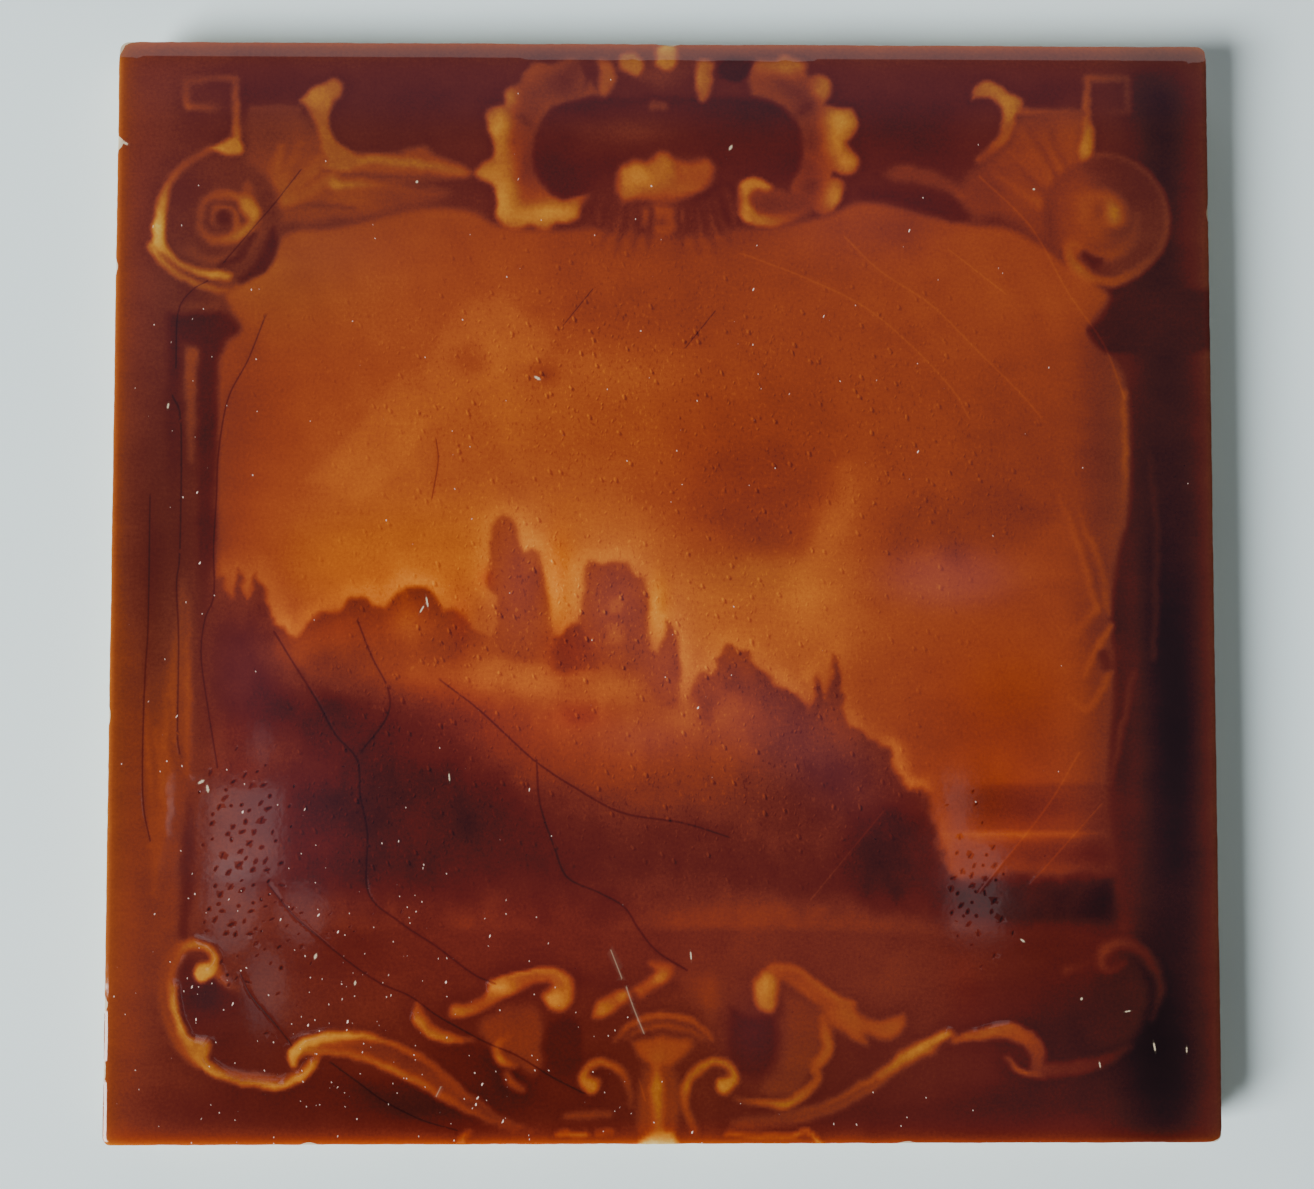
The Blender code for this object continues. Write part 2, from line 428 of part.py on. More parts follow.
def inside_depth(x, y, line):
    """Distance from a closed line, positive inside it and negative outside."""
    near = np.full(x.shape, 1e9)
    within = np.zeros(x.shape, bool)
    for start, end in zip(line, np.roll(line, -1, axis=0)):
        run = end - start
        if run @ run < 1e-12:
            continue
        part = np.clip(((x - start[0]) * run[0] + (y - start[1]) * run[1]) / (run @ run), 0.0, 1.0)
        near = np.minimum(near, np.hypot(x - start[0] - part * run[0], y - start[1] - part * run[1]))
        crosses = (start[1] > y) != (end[1] > y)
        rise = np.where(crosses, end[1] - start[1], 1.0)
        within ^= crosses & (x < start[0] + (y - start[1]) * run[0] / rise)
    return np.where(within, near, -near)


def land_level(x, y):
    """Height of the ground below the skyline: dark hollows, a lit hillside and pale water."""
    lit_hill = 0.20 * hump(x, y, (-28.0, -12.0), (18.0, 3.4)) + 0.16 * hump(x, y, (-8.0, -15.5), (10.0, 4.0))
    glow = 0.14 * hump(x, y, (-14.0, -24.0), (16.0, 4.5))
    hollow = 0.09 * hump(x, y, (-38.0, -30.0), (16.0, 9.0)) + 0.09 * hump(x, y, (28.0, -35.0), (12.0, 7.0))
    shore = 0.10 * ramp(-y, 37.0, 49.0) * (1.0 - ramp(-y, 50.0, 60.0))
    return WOODS_LEVEL + lit_hill + glow - hollow + shore


def water_level(x, y):
    """Height of the lit water at the right, under the end of the woods."""
    streak = 0.16 * ramp(x, 38.0, 44.0) * hump(x, y, (x, -33.8), (1.0, 1.3))
    return 0.24 + streak


def ground_level(x, y):
    """Height of the face without its ornament, as shares of RELIEF_HEIGHT."""
    over_skyline = -inside_depth(x, y, land_outline())
    sky = SKY_LEVEL - (SKY_LEVEL - water_level(x, y)) * ramp(-y, 24.0, 28.0) * ramp(x, 30.0, 38.0)
    picture = land_level(x, y) + (sky - land_level(x, y)) * ramp(over_skyline, -SOFT_STEP, SOFT_STEP)
    within = ramp(inside_depth(x, y, frame_line()), -SOFT_STEP, SOFT_STEP)
    foot = 0.10 * ramp(-y, 46.0, 47.0) * (1.0 - ramp(-y, 50.0, 60.0)) * ramp(62.0 - np.abs(x), 0.0, 6.0)
    rays_left = 0.16 * hump(x, y, (-52.0, 57.0), (6.0, 9.0))
    rays_right = 0.26 * hump(x, y, (53.5, 56.0), (7.5, 10.0))
    boss = 0.12 * hump(x, y, (0.5, 63.2), (13.0, 2.6))
    leaf_body = 0.16 * hump(x, y, (-22.5, -60.0), (7.0, 3.2)) + 0.12 * hump(x, y, (17.5, -62.0), (4.5, 7.0))
    reeds = 0.34 * hump(x, y, (0.0, 50.0), (9.0, 4.0))
    outside = foot + rays_left + rays_right + boss + leaf_body + reeds
    return outside + (picture - outside) * within


def ruin_windows():
    """Windows in the towers, through which the sky shows."""
    windows = ((-22.3, 4.6, 1.4), (-18.2, 1.0, 1.2), (-8.6, -1.6, 1.2), (-6.2, -7.2, 1.8))
    for window_x, window_y, tall in windows:
        sill, head = window_y - tall / 2, window_y + tall / 2
        yield Stroke([(window_x, sill), (window_x, head)], 0.55, 0.36, square=True)


def carving():
    """Every stroke of the ornament and of the picture."""
    makers = (upper_left_corner, upper_right_corner, cartouche, lower_left_corner, lower_right_corner,
              lower_middle, side_columns, ruin_windows)
    return [stroke for maker in makers for stroke in maker()]


def face_height(x, y, strokes):
    """Height of the face above the back in metres, for points in grid units."""
    ground = ground_level(x, y)
    raised, sunk = np.zeros_like(x), np.zeros_like(x)
    for stroke in strokes:
        stroke.add_to(x, y, raised, sunk)
    relief = np.clip(np.maximum(ground, raised) + sunk, 0.0, 1.0)
    to_edge = np.minimum(TILE_WIDTH * (0.5 - np.abs(x) / GRID), TILE_HEIGHT * (0.5 - np.abs(y) / GRID))
    beyond = np.clip(1.0 - to_edge / FACE_ROUND_WIDTH, 0.0, 1.0)
    return BODY_THICKNESS + RELIEF_HEIGHT * relief - FACE_ROUND_DROP * beyond ** 2


def outline(inset):
    """The tile's outline in metres, anticlockwise, drawn in by the inset, with rounded corners."""
    half_width, half_height = TILE_WIDTH / 2 - inset, TILE_HEIGHT / 2 - inset
    radius = CORNER_RADIUS
    corners = []
    for quarter, (side_x, side_y) in enumerate(((1, 1), (-1, 1), (-1, -1), (1, -1))):
        centre = (side_x * (half_width - radius), side_y * (half_height - radius))
        angles = [math.pi / 2 * (quarter + part / CORNER_SEGMENTS) for part in range(CORNER_SEGMENTS + 1)]
        corners.append([(centre[0] + radius * math.cos(angle), centre[1] + radius * math.sin(angle))
                        for angle in angles])
    points = []
    for corner, following in zip(corners, corners[1:] + corners[:1]):
        points += corner
        start, end = corner[-1], following[0]
        for part in range(1, SIDE_SEGMENTS):
            share = part / SIDE_SEGMENTS
            points.append((start[0] + share * (end[0] - start[0]), start[1] + share * (end[1] - start[1])))
    return points


def triangulate(points, edges, weld):
    """Triangles between the points that keep the edges, all anticlockwise from above."""
    places, _, faces, _, _, _ = delaunay_2d_cdt([Vector(point) for point in points], edges, [], 0, weld)
    triangles = []
    for a, b, c in faces:
        turn = (places[b] - places[a]).cross(places[c] - places[a])
        triangles.append((a, b, c) if turn > 0.0 else (a, c, b))
    return [tuple(place) for place in places], triangles


def add_chain(points, edges, chain, closed=False):
    """Add a chain of points and the edges along it."""
    first = len(points)
    points += [tuple(point) for point in chain]
    edges += [(index, index + 1) for index in range(first, len(points) - 1)]
    if closed:
        edges.append((len(points) - 1, first))


def face_plan(strokes):
    """Points and edges in grid units that the face's triangles follow."""
    points, edges = [], []
    to_grid = np.array([GRID / TILE_WIDTH, GRID / TILE_HEIGHT])
    add_chain(points, edges, np.array(outline(0.0)) * to_grid, closed=True)
    add_chain(points, edges, np.array(outline(FACE_ROUND_WIDTH)) * to_grid, closed=True)
    for stroke in strokes:
        for line, closed in stroke.plan_lines():
            add_chain(points, edges, line, closed)
    within_frame = inside_depth(*skyline().T, frame_line()) > 0.0
    for line in (skyline()[within_frame], frame_line()[frame_line()[:, 1] > LOWEST_FRAME_STEP]):
        across = np.gradient(line, axis=0)
        left = np.stack([-across[:, 1], across[:, 0]], axis=1) / np.linalg.norm(across, axis=1)[:, None]
        for offset in (-SOFT_STEP, SOFT_STEP):
            add_chain(points, edges, line + offset * left)
    for low_x, high_x, low_y, high_y, step in SOFT_AREAS:
        for row, place_y in enumerate(np.arange(low_y, high_y, step)):
            shift = 0.5 * step * (row % 2)
            points += [(place_x, place_y) for place_x in np.arange(low_x + shift, high_x, step)]
    return points, edges


def groove_edges():
    """The x of both sides of every groove in the back, between the rim and the ribs."""
    inner_width = TILE_WIDTH - 2 * BACK_RIM_WIDTH
    pitch = (inner_width + RIB_WIDTH) / (RIB_COUNT + 1)
    starts = [-inner_width / 2 + index * pitch for index in range(RIB_COUNT + 1)]
    return [(start, start + pitch - RIB_WIDTH) for start in starts]


def build_face(verts, faces, strokes):
    """The carved face. The corners of its outline come first in the list."""
    places, triangles = triangulate(*face_plan(strokes), FACE_WELD)
    grid = np.array(places)
    heights = face_height(grid[:, 0], grid[:, 1], strokes)
    scale = np.array([TILE_WIDTH / GRID, TILE_HEIGHT / GRID])
    verts += [(x, y, z) for (x, y), z in zip((grid * scale).tolist(), heights.tolist())]
    faces += triangles


def build_sides(faces, count, first):
    """A band of faces between the face's outline and the back's, whose corners start at first."""
    for index in range(count):
        after = (index + 1) % count
        faces.append((index, first + index, first + after, after))


def build_back(verts, faces):
    """The flat back with its grooves. The corners of its outline come first in its part of the list."""
    first = len(verts)
    mouth_y = TILE_HEIGHT / 2 - BACK_RIM_WIDTH
    points, edges = [], []
    add_chain(points, edges, outline(SIDE_DRAFT), closed=True)
    outline_count = len(points)
    for low_x, high_x in groove_edges():
        mouth = [(low_x, -mouth_y), (high_x, -mouth_y), (high_x, mouth_y), (low_x, mouth_y)]
        add_chain(points, edges, mouth, closed=True)
    places, triangles = triangulate(points, edges, BACK_WELD)
    verts += [(x, y, 0.0) for x, y in places]
    for triangle in triangles:
        groove = {(corner - outline_count) // 4 for corner in triangle}
        if len(groove) > 1 or min(triangle) < outline_count:
            faces.append(tuple(first + corner for corner in triangle[::-1]))
    for number, (low_x, high_x) in enumerate(groove_edges()):
        mouth = [first + outline_count + 4 * number + corner for corner in range(4)]
        floor = [len(verts) + corner for corner in range(4)]
        floor_low, floor_high = low_x + GROOVE_WALL_SLOPE, high_x - GROOVE_WALL_SLOPE
        end_y = mouth_y - GROOVE_WALL_SLOPE
        verts += [(floor_low, -end_y, GROOVE_DEPTH), (floor_high, -end_y, GROOVE_DEPTH),
                  (floor_high, end_y, GROOVE_DEPTH), (floor_low, end_y, GROOVE_DEPTH)]
        for corner in range(4):
            after = (corner + 1) % 4
            faces.append((mouth[after], mouth[corner], floor[corner], floor[after]))
        faces.append(tuple(floor[::-1]))


def glazed_ceramic():
    """Amber glaze over pale clay, as one plain finish."""
    material = bpy.data.materials.new("glazed_ceramic")
    material.use_nodes = True
    shader = material.node_tree.nodes["Principled BSDF"]
    shader.inputs["Base Color"].default_value = GLAZE_COLOUR
    shader.inputs["Roughness"].default_value = GLAZE_ROUGHNESS
    shader.inputs["Metallic"].default_value = 0.0
    return material


def build_tile():
    """The whole tile as one closed solid."""
    verts, faces = [], []
    build_face(verts, faces, carving())
    back_start = len(verts)
    build_back(verts, faces)
    build_sides(faces, len(outline(0.0)), back_start)
    mesh = bpy.data.meshes.new("tile")
    mesh.from_pydata(verts, [], faces)
    shape = bmesh.new()
    shape.from_mesh(mesh)
    bmesh.ops.remove_doubles(shape, verts=shape.verts, dist=SHORTEST_EDGE)
    shape.to_mesh(mesh)
    shape.free()
    mesh.materials.append(glazed_ceramic())
    mesh.shade_smooth()
    mesh.set_sharp_from_angle(angle=SHARP_ANGLE)
    tile = bpy.data.objects.new("tile", mesh)
    bpy.context.collection.objects.link(tile)
    return tile


for old in list(bpy.data.objects):
    bpy.data.objects.remove(old, do_unlink=True)
build_tile()
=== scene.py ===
import math

import bpy
import numpy as np
from mathutils import Matrix, Vector
from mathutils.geometry import delaunay_2d_cdt


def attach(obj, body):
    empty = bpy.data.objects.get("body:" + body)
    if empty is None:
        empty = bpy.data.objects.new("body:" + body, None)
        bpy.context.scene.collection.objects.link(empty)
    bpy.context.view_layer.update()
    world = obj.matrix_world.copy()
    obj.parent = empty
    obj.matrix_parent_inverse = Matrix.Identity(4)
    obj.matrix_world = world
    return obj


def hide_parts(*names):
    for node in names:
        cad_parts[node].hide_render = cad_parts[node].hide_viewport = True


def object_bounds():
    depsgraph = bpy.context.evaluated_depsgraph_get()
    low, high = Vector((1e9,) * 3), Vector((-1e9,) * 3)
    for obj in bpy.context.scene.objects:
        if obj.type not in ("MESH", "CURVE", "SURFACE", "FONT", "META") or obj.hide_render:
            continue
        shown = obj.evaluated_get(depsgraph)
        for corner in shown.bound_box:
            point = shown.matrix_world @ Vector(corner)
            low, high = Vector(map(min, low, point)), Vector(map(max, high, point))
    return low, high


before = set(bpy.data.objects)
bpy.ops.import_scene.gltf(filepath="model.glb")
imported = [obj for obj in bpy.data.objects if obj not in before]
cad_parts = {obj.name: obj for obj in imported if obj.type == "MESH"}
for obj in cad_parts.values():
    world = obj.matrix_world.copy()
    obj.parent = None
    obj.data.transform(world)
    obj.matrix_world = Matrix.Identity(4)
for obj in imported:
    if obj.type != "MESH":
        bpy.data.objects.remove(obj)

cad_low, cad_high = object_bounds()

# A millimetre in metres, half the tile's width and the height of its highest ridge, both in millimetres
MM = 0.001
HALF = cad_high.x / MM
TOP = cad_high.z / MM

# The body: its corners, the lean of its sides, and the rim, ribs and grooves of its back
CORNER_RADIUS = 1.2
SIDE_DRAFT = 0.4
BACK_RIM_WIDTH = 6.5
RIB_COUNT = 13
RIB_WIDTH = 3.5
GROOVE_DEPTH = 1.0
GROOVE_WALL_SLOPE = 0.4

# The surface of the glaze: how high it lies in the hollows and on the highest ridge, the share of that
# height that it keeps where it has pooled, and its faint orange peel
POOL_LEVEL = 9.02
RIDGE_LEVEL = TOP - 0.02
RELIEF_SHARE = 0.42
PEEL_HEIGHT = 0.012
GLAZE_THICKNESS = 0.22

# How closely points lie: over the plain and the carved parts of the face, along a stroke, along the inner
# edge of the frame, along a crack and round the outline
PLAIN_STEP = 0.82
FINE_STEP = 0.46
STROKE_STEP = 0.7
FRAME_STEP = 0.8
CRACK_STEP = 0.42
EDGE_STEP = 0.5
CORNER_STEPS = 6

# Random waves: the seed of the first, how many cells they repeat after, and where they start
SEED = 7
RIPPLE_CELLS = 256
RIPPLE_START = 500.0


def smooth_line(points, step):
    """Points along a smooth curve through the given ones, and the place of each among them."""
    given = np.array(points, float)
    ends = np.vstack([2 * given[0] - given[1], given, 2 * given[-1] - given[-2]])
    line, places = [], []
    for index in range(len(given) - 1):
        before, start, end, after = ends[index:index + 4]
        count = max(2, math.ceil(np.linalg.norm(end - start) / step))
        for part in np.arange(count) / count:
            line.append(0.5 * (2 * start + (end - before) * part
                               + (2 * before - 5 * start + 4 * end - after) * part ** 2
                               + (3 * start - before - 3 * end + after) * part ** 3))
            places.append(index + part)
    return np.array(line + [given[-1]]), np.array(places + [len(given) - 1.0])


def straight_line(points, step):
    """Points along straight runs between the given ones, and the place of each among them."""
    given = np.array(points, float)
    line, places = [], []
    for index in range(len(given) - 1):
        run = given[index + 1] - given[index]
        count = max(1, math.ceil(np.linalg.norm(run) / step))
        for part in np.arange(count) / count:
            line.append(given[index] + part * run)
            places.append(index + part)
    return np.array(line + [given[-1]]), np.array(places + [len(given) - 1.0])


def around(centre, turns):
    """Points at the given angles in degrees and radii around a centre, as on a volute."""
    return [(centre[0] + radius * math.cos(math.radians(angle)),
             centre[1] + radius * math.sin(math.radians(angle))) for angle, radius in turns]


def spread(values, places, count):
    """Values given at even shares of a line, read at each of its places."""
    values = np.atleast_1d(np.array(values, float))
    if len(values) == 1:
        return np.full(len(places), values[0])
    return np.interp(places, np.linspace(0.0, count - 1.0, len(values)), values)


def ramp(value, low, high):
    """A smooth step from 0 at low to 1 at high."""
    share = np.clip((value - low) / (high - low), 0.0, 1.0)
    return share * share * (3.0 - 2.0 * share)


def mixed(first, second, share):
    """The first value where share is 0 and the second where it is 1."""
    return first + (second - first) * share


def washes(x, y, marks):
    """The sum of soft brush marks, each with a centre, a reach both ways and a change at its centre."""
    total = np.zeros_like(x)
    for centre_x, centre_y, reach_x, reach_y, change, *shape in marks:
        lean = math.radians(shape[0] if shape else 0.0)
        hardness = shape[1] if len(shape) > 1 else 1.0
        along = ((x - centre_x) * math.cos(lean) + (y - centre_y) * math.sin(lean)) / reach_x
        across = ((y - centre_y) * math.cos(lean) - (x - centre_x) * math.sin(lean)) / reach_y
        total += change * np.exp(-(along * along + across * across) ** hardness)
    return total


def ripple(x, y, size, seed):
    """Smooth random waves between -1 and 1, about as long as size."""
    lattice = np.random.default_rng(seed).uniform(-1.0, 1.0, (RIPPLE_CELLS, RIPPLE_CELLS))
    across, up = (x + RIPPLE_START) / size, (y + RIPPLE_START) / size
    column, row = np.floor(across).astype(int), np.floor(up).astype(int)
    part_x, part_y = ramp(across - column, 0.0, 1.0), ramp(up - row, 0.0, 1.0)
    left, right = column % RIPPLE_CELLS, (column + 1) % RIPPLE_CELLS
    lower, upper = row % RIPPLE_CELLS, (row + 1) % RIPPLE_CELLS
    low = mixed(lattice[lower, left], lattice[lower, right], part_x)
    high = mixed(lattice[upper, left], lattice[upper, right], part_x)
    return mixed(low, high, part_y)


def inside_depth(x, y, line):
    """Distance from a closed line, positive inside it and negative outside."""
    near = np.full(x.shape, 1e9)
    within = np.zeros(x.shape, bool)
    for start, end in zip(line, np.roll(line, -1, axis=0)):
        run = end - start
        part = np.clip(((x - start[0]) * run[0] + (y - start[1]) * run[1]) / (run @ run), 0.0, 1.0)
        near = np.minimum(near, np.hypot(x - start[0] - part * run[0], y - start[1] - part * run[1]))
        crosses = (start[1] > y) != (end[1] > y)
        rise = np.where(crosses, end[1] - start[1], 1.0)
        within ^= crosses & (x < start[0] + (y - start[1]) * run[0] / rise)
    return np.where(within, near, -near)


def box_round(x, y, line, beyond):
    """The numbers of the points that lie in the box round a line, or up to a distance beyond it."""
    low, high = line.min(axis=0) - beyond, line.max(axis=0) + beyond
    return np.nonzero((x > low[0]) & (x < high[0]) & (y > low[1]) & (y < high[1]))[0]


class Stroke:
    """One line of the carving, with half its width and the lightness of the glaze on it along its run."""

    def __init__(self, points, half, light, square=False, soft=0.5):
        make_line = straight_line if square else smooth_line
        self.line, places = make_line(points, STROKE_STEP)
        self.half = spread(half, places, len(points))
        self.light = spread(light, places, len(points))
        self.soft = soft

    def reach(self, x, y, beyond):
        """The points near the stroke, how deep inside its edge each is, and its lightness there."""
        near_points = box_round(x, y, self.line, self.half.max() + beyond)
        depth, light = np.full(len(near_points), -1e9), np.zeros(len(near_points))
        for index in range(len(self.line) - 1):
            start, run = self.line[index], self.line[index + 1] - self.line[index]
            from_x, from_y = x[near_points] - start[0], y[near_points] - start[1]
            part = np.clip((from_x * run[0] + from_y * run[1]) / (run @ run), 0.0, 1.0)
            distance = np.hypot(from_x - part * run[0], from_y - part * run[1])
            here = mixed(self.half[index], self.half[index + 1], part) - distance
            deeper = here > depth
            depth = np.where(deeper, here, depth)
            light = np.where(deeper, mixed(self.light[index], self.light[index + 1], part), light)
        return near_points, depth, light


class Patch:
    """One area of the carving: its outline, the lightness of the glaze on it, and soft changes in that."""

    def __init__(self, points, light, marks=(), soft=0.5):
        self.line = smooth_line(list(points) + [points[0]], STROKE_STEP)[0][:-1]
        self.light = light
        self.marks = marks
        self.soft = soft

    def reach(self, x, y, beyond):
        """The points near the patch, how deep inside its edge each is, and its lightness there."""
        near_points = box_round(x, y, self.line, beyond)
        near_x, near_y = x[near_points], y[near_points]
        depth = inside_depth(near_x, near_y, self.line)
        return near_points, depth, self.light + washes(near_x, near_y, self.marks)


def upper_left_corner():
    """A volute with a square fret above it, and an acanthus leaf that runs towards the middle."""
    yield Patch([(-58, 48.6), (-58.6, 55), (-58.4, 60), (-57.6, 65.8), (-50.6, 65.8), (-46, 59),
        (-44, 54), (-50, 50.6), (-54.6, 49.6)], 62, [(-55, 54, 3, 5, 10, 60), (-49, 58, 4, 5, 8),
        (-54, 64, 6, 3, -4)], soft=1.4)
    yield Patch([(-49.6, 56.4), (-44, 56.6), (-37, 55.6), (-30, 54.6), (-33, 53), (-38, 51.6),
        (-44, 50.4), (-50, 50.2), (-53, 51.4)], 66, [(-44, 53.4, 4, 1.4, 12)], soft=1.2)
    yield Patch([(-44.6, 60), (-38, 59.8), (-33.4, 61), (-31.8, 59.6), (-27.5, 58.2), (-27.5, 56.9),
        (-33.5, 56.2), (-39, 55.6), (-45.6, 54.8), (-47.4, 56.4)], 72, [(-36, 58.6, 7, 1, 8),
        (-29, 57.5, 3, 1, 10)], soft=0.8)
    yield Stroke([(-56, 51.6), (-50.6, 56.2), (-46, 58.4), (-40.5, 59.1), (-34, 58.4), (-28, 57.4)],
        [0.3, 0.5, 0.6, 0.5, 0.5, 0.3], [86, 82, 88, 98, 98, 86], soft=0.6)
    yield Stroke([(-45.8, 56), (-44.8, 55.4), (-40, 55.4), (-35, 54.8)], [0.7, 0.6, 0.4, 0.3],
        [104, 100, 80, 68], soft=0.6)
    yield Stroke([(-47.6, 57.6), (-43.6, 57), (-38, 56.7), (-31.5, 56.6)], [0.2, 0.4, 0.4, 0.2], 60)
    yield Stroke([(-52.6, 52.2), (-48, 52.8), (-43, 52.4)], [0.2, 0.4, 0.2], 58)
    tips = [(-53.2, 60.8, 80), (-50.6, 61.5, 72), (-47.6, 59.4, 80), (-45.6, 57.0, 84)]
    for tip_x, tip_y, light in tips:
        middle = ((tip_x - 56.6) / 2 + 0.5, (tip_y + 51.8) / 2 - 0.5)
        yield Stroke([(-56.6, 51.8), middle, (tip_x, tip_y)], [0.5, 0.9, 0.5], [96, 80, light], soft=0.8)
    head = [(-50.7, 67.4), (-48.8, 69.2), (-46.2, 70.2), (-44.9, 69.5), (-44.8, 68.2), (-46.3, 67),
        (-46.8, 65), (-46.4, 63.2), (-45.2, 61.3), (-43, 59.8), (-43.5, 57.6), (-46.2, 58.2),
        (-47.8, 61.8), (-48.6, 64.2), (-49.4, 66.2)]
    yield Patch(head, 88, [(-47.8, 67.6, 2.4, 2.2, 20), (-48.6, 65.6, 1, 1.4, -8)])
    yield Stroke([(-57.4, 66.2), (-50.8, 66.3)], 0.35, 61, square=True)
    yield Stroke([(-66.3, 66.4), (-66.3, 70.2), (-59.6, 70.4), (-59.5, 61)], 0.5, [74, 60, 66, 92],
        square=True)
    yield Stroke([(-66.2, 66.5), (-61.6, 66.3)], 0.4, [80, 52], square=True)
    yield Patch(around((-61.4, 51), [(turn, 8.4) for turn in range(0, 360, 30)]), 54,
        [(-66.5, 54.5, 3, 4, -4)], soft=0.9)
    yield Stroke(around((-61.4, 50.9), [(50, 5.6), (0, 5.4), (-50, 5.8), (-100, 6.3), (-140, 6.6)]),
        [0.5, 0.6, 0.6, 0.6, 0.4], [72, 62, 62, 68, 58], soft=0.8)
    yield Stroke(around((-61.3, 50.7), [(20, 4.5), (50, 4), (90, 3.5), (140, 3.3), (190, 3.2), (240, 3.2),
        (290, 3.1), (330, 3.5), (350, 4.2)]), [0.8, 0.7, 0.6, 0.5, 0.5, 0.6, 0.7, 0.8, 0.7],
        [102, 84, 74, 70, 66, 74, 84, 98, 92], soft=0.6)
    yield Stroke(around((-61.2, 50.8), [(320, 2.4), (10, 1.8), (70, 1.7), (130, 1.7), (190, 1.6),
        (240, 1.5)]), [0.4, 0.35, 0.35, 0.35, 0.35, 0.2], [84, 76, 72, 70, 68, 60], soft=0.4)
    yield Stroke([(-61.3, 51.2), (-61, 50.4)], 0.7, 44)
    yield Stroke([(-57.8, 52.4), (-57, 51.4)], 1, 108, soft=0.8)
    yield Stroke([(-61.6, 43.9), (-58.8, 45.7), (-56.8, 48.6)], [0.3, 0.7, 0.4], 44)
    yield Stroke([(-58.6, 41.9), (-55.8, 44.2), (-54.4, 47), (-54.2, 49.2)], [0.4, 1, 0.9, 0.4], 41)
    # The rim's bright left end, at lightness 118 to 160, and the lines under it are partly painted highlight
    # on thin glaze
    rim = [(-59.4, 60.6), (-62.6, 60.4), (-65.8, 58.9), (-68.4, 56), (-69.7, 52.4), (-70, 49.4),
        (-69.6, 46.8)]
    yield Stroke(rim, [0.4, 0.4, 0.5, 0.5, 0.6, 0.8, 0.6], [100, 72, 70, 80, 118, 160, 146])
    yield Stroke([(-71.2, 47), (-69, 44.2), (-66.2, 42.3), (-62.8, 41), (-60.6, 40.8)],
        [0.4, 0.5, 0.5, 0.5, 0.3], [118, 98, 92, 90, 76])
    yield Stroke([(-70.2, 47.4), (-68.2, 45.3), (-65.6, 43.7), (-62.6, 42.9), (-60.2, 42.5)],
        [0.6, 0.5, 0.45, 0.6, 0.4], [146, 108, 100, 126, 112])
    yield Patch([(-62.8, 60.4), (-60.2, 61.8), (-59, 61.6), (-58.6, 59.8), (-60.4, 59.6)], 112)


